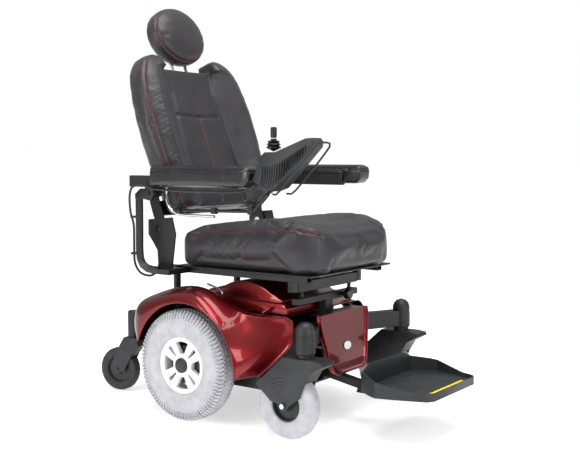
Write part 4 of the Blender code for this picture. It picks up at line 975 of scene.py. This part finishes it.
ZINC = zinc()
FORK_X, FORK_Y = 0.283, -0.440  # the swivel axis of a front caster
FORK_HALF = 0.0334
for name, side in SIDES:
    low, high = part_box(f"front_fork_{name}")
    tyre_low, tyre_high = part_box(f"front_tyre_{name}")
    hub = (tyre_low + tyre_high) / 2
    outer = high.x if side > 0 else low.x
    bolt = bolt_head(Vector((outer + side * 0.0015, hub.y, hub.z)), 0.0085, 0.005)
    put_on(f"front_axle_bolt_{name}", bolt, ZINC, f"front_fork_{name}")
    # Black arcs on the fork's outer side where its slots open: their dark is painted shade for the
    # hollow of each slot.
    ribs = []
    for reach in (0.062, 0.072, 0.082):
        ribs.append([Vector((side * (FORK_X + FORK_HALF),
                             hub.y + reach * math.cos(math.radians(a)),
                             hub.z + reach * math.sin(math.radians(a))))
                     for a in range(52, 104, 4)])
    put_on(f"fork_slot_painted_shade_{name}", tube(ribs, 0.0014, 8), BLACK_PLASTIC, f"front_fork_{name}")
    collar = [[Vector((side * FORK_X + 0.0245 * math.cos(a),
                       on_chair(0, FORK_Y, 0).y + 0.0245 * math.sin(a), 0.2590))
               for a in np.linspace(0, math.tau, 49)]]
    put_on(f"fork_collar_{name}", tube(collar, 0.0022, 8), GREY_PLASTIC, f"front_fork_{name}")
    low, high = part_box(f"hub_cap_{name}")
    face = high.x if side > 0 else low.x
    cap_ring = [[Vector((face - side * 0.0005, AXLE.y + 0.0150 * math.cos(a),
                         AXLE.z + 0.0150 * math.sin(a))) for a in np.linspace(0, math.tau, 49)]]
    put_on(f"hub_ring_{name}", tube(cap_ring, 0.0010, 8), GREY_PLASTIC, f"drive_wheel_{name}")
    spot = on_chair(side * 0.2712, 0.161, 0.601)
    nut = bolt_head(spot + Vector((side * 0.001, 0, 0)), 0.0080, 0.004)
    put_on(f"recline_nut_{name}", nut, ZINC, "seat")
    # A black disc inside the rim, behind the spokes: painted shade that darkens the gaps between
    # them.
    shade = bolt_head(Vector((face - side * 0.030, AXLE.y, AXLE.z)), 0.060, 0.003, 64)
    put_on(f"hub_painted_shade_{name}", shade, BLACK_PLASTIC, f"drive_wheel_{name}")
tread = []
for x in np.linspace(-0.11, 0.11, 7):
    tread.append([on_chair(x, -0.575, 0.1500), on_chair(x * 0.95, -0.735, 0.1500)])
put_on("foot_board_ribs", tube(tread, 0.0014, 8), GREY_PLASTIC, "foot_board")


def yellow_strip():
    material, tree, shader, place = start_material("yellow_edge_tape", "#F2DE12", 0.45)
    two_tone(tree, shader, place, 9, "#EBD60C", "#F8E81E")
    grain(tree, shader, place, 0.8, 0.3, 0.1)
    return material


strip = bmesh.new()
bmesh.ops.create_cube(strip, size=1, matrix=Matrix.Translation(on_chair(0, -0.7560, 0.1508))
                      @ Matrix.Diagonal((0.215, 0.011, 0.0012, 1)))
put_on("foot_board_strip", strip, yellow_strip(), "foot_board")
print("bolts, ribs and strip")

# %% [markdown]
# ## Floor, light and camera
# The chair stands on a plain pale floor in an even studio light: a large soft panel above and to
# the front left, a weaker one to the right, and a bright surround that fills the shadows. The
# camera stands at standing-eye distance in front of the chair's right side, and looks slightly
# down.


# %% Floor
def pale_floor():
    """White seamless paper. A little light of its own keeps it white up to the horizon."""
    material, tree, shader, place = start_material("matt_white_paper", "#F4F4F4", 0.7,
                                                   Emission_Strength=0.55)
    shader.inputs["Emission Color"].default_value = linear("#FFFFFF")
    vary(tree, shader, place, 700, 0.62, 0.75)
    return material


floor_shape = bmesh.new()
bmesh.ops.create_grid(floor_shape, x_segments=2, y_segments=2, size=60)
floor = put_on("floor", floor_shape, pale_floor(), None)
print("floor", len(floor.data.polygons), "faces")


# %% Lights and surround
def panel(name, at, aim, size, watts):
    """A soft light of two sides that faces a point."""
    lamp = bpy.data.lights.new(name, "AREA")
    lamp.shape, lamp.size, lamp.size_y, lamp.energy = "RECTANGLE", size[0], size[1], watts
    holder = bpy.data.objects.new(name, lamp)
    holder.location = at
    holder.rotation_euler = (Vector(aim) - Vector(at)).to_track_quat("-Z", "Y").to_euler()
    bpy.context.scene.collection.objects.link(holder)
    return holder


panel("top_panel", (-0.4, -0.5, 3.4), (0, 0, 0.4), (2.6, 2.0), 95)
panel("side_strip", (-3.2, 0.9, 1.5), (0, 0, 0.5), (0.7, 1.8), 34)
panel("front_panel", (-0.9, -3.6, 1.5), (0, 0, 0.55), (1.2, 1.4), 30)


# %% Surround
def studio():
    """White where the camera looks past the chair; dimmer towards the walls for what it mirrors."""
    world = bpy.data.worlds.new("studio")
    world.use_nodes = True
    tree = world.node_tree
    plain = tree.nodes["Background"]
    plain.inputs["Color"].default_value = linear("#FFFFFF")
    place = add(tree, "ShaderNodeTexCoord").outputs["Generated"]
    height = add(tree, "ShaderNodeSeparateXYZ", {"Vector": place}).outputs["Z"]
    ramp = add(tree, "ShaderNodeValToRGB", {"Fac": height})
    ramp.color_ramp.elements[0].color = linear("#8C8C8E")
    ramp.color_ramp.elements[1].position = 0.75
    ramp.color_ramp.elements[1].color = linear("#F4F4F4")
    walls = add(tree, "ShaderNodeBackground", {"Color": ramp.outputs["Color"]}, Strength=0.75)
    sight = add(tree, "ShaderNodeLightPath").outputs["Is Camera Ray"]
    mix = add(tree, "ShaderNodeMixShader", {"Fac": sight})
    tree.links.new(walls.outputs[0], mix.inputs[1])
    tree.links.new(plain.outputs[0], mix.inputs[2])
    tree.links.new(mix.outputs[0], tree.nodes["World Output"].inputs["Surface"])
    return world


bpy.context.scene.world = studio()
bpy.context.scene.view_settings.view_transform = "Standard"
print("three panels and a white surround")

# %% Camera
lens = bpy.data.cameras.new("camera")
lens.lens, lens.sensor_width = 58.73, 36
camera = bpy.data.objects.new("camera", lens)
camera.location = (-2.5185, -1.8927, 0.8341)
camera.rotation_euler = (math.radians(90 - 4.09), 0, math.radians(36.12 - 90))
bpy.context.scene.collection.objects.link(camera)
bpy.context.scene.camera = camera
print("camera at", tuple(camera.location))
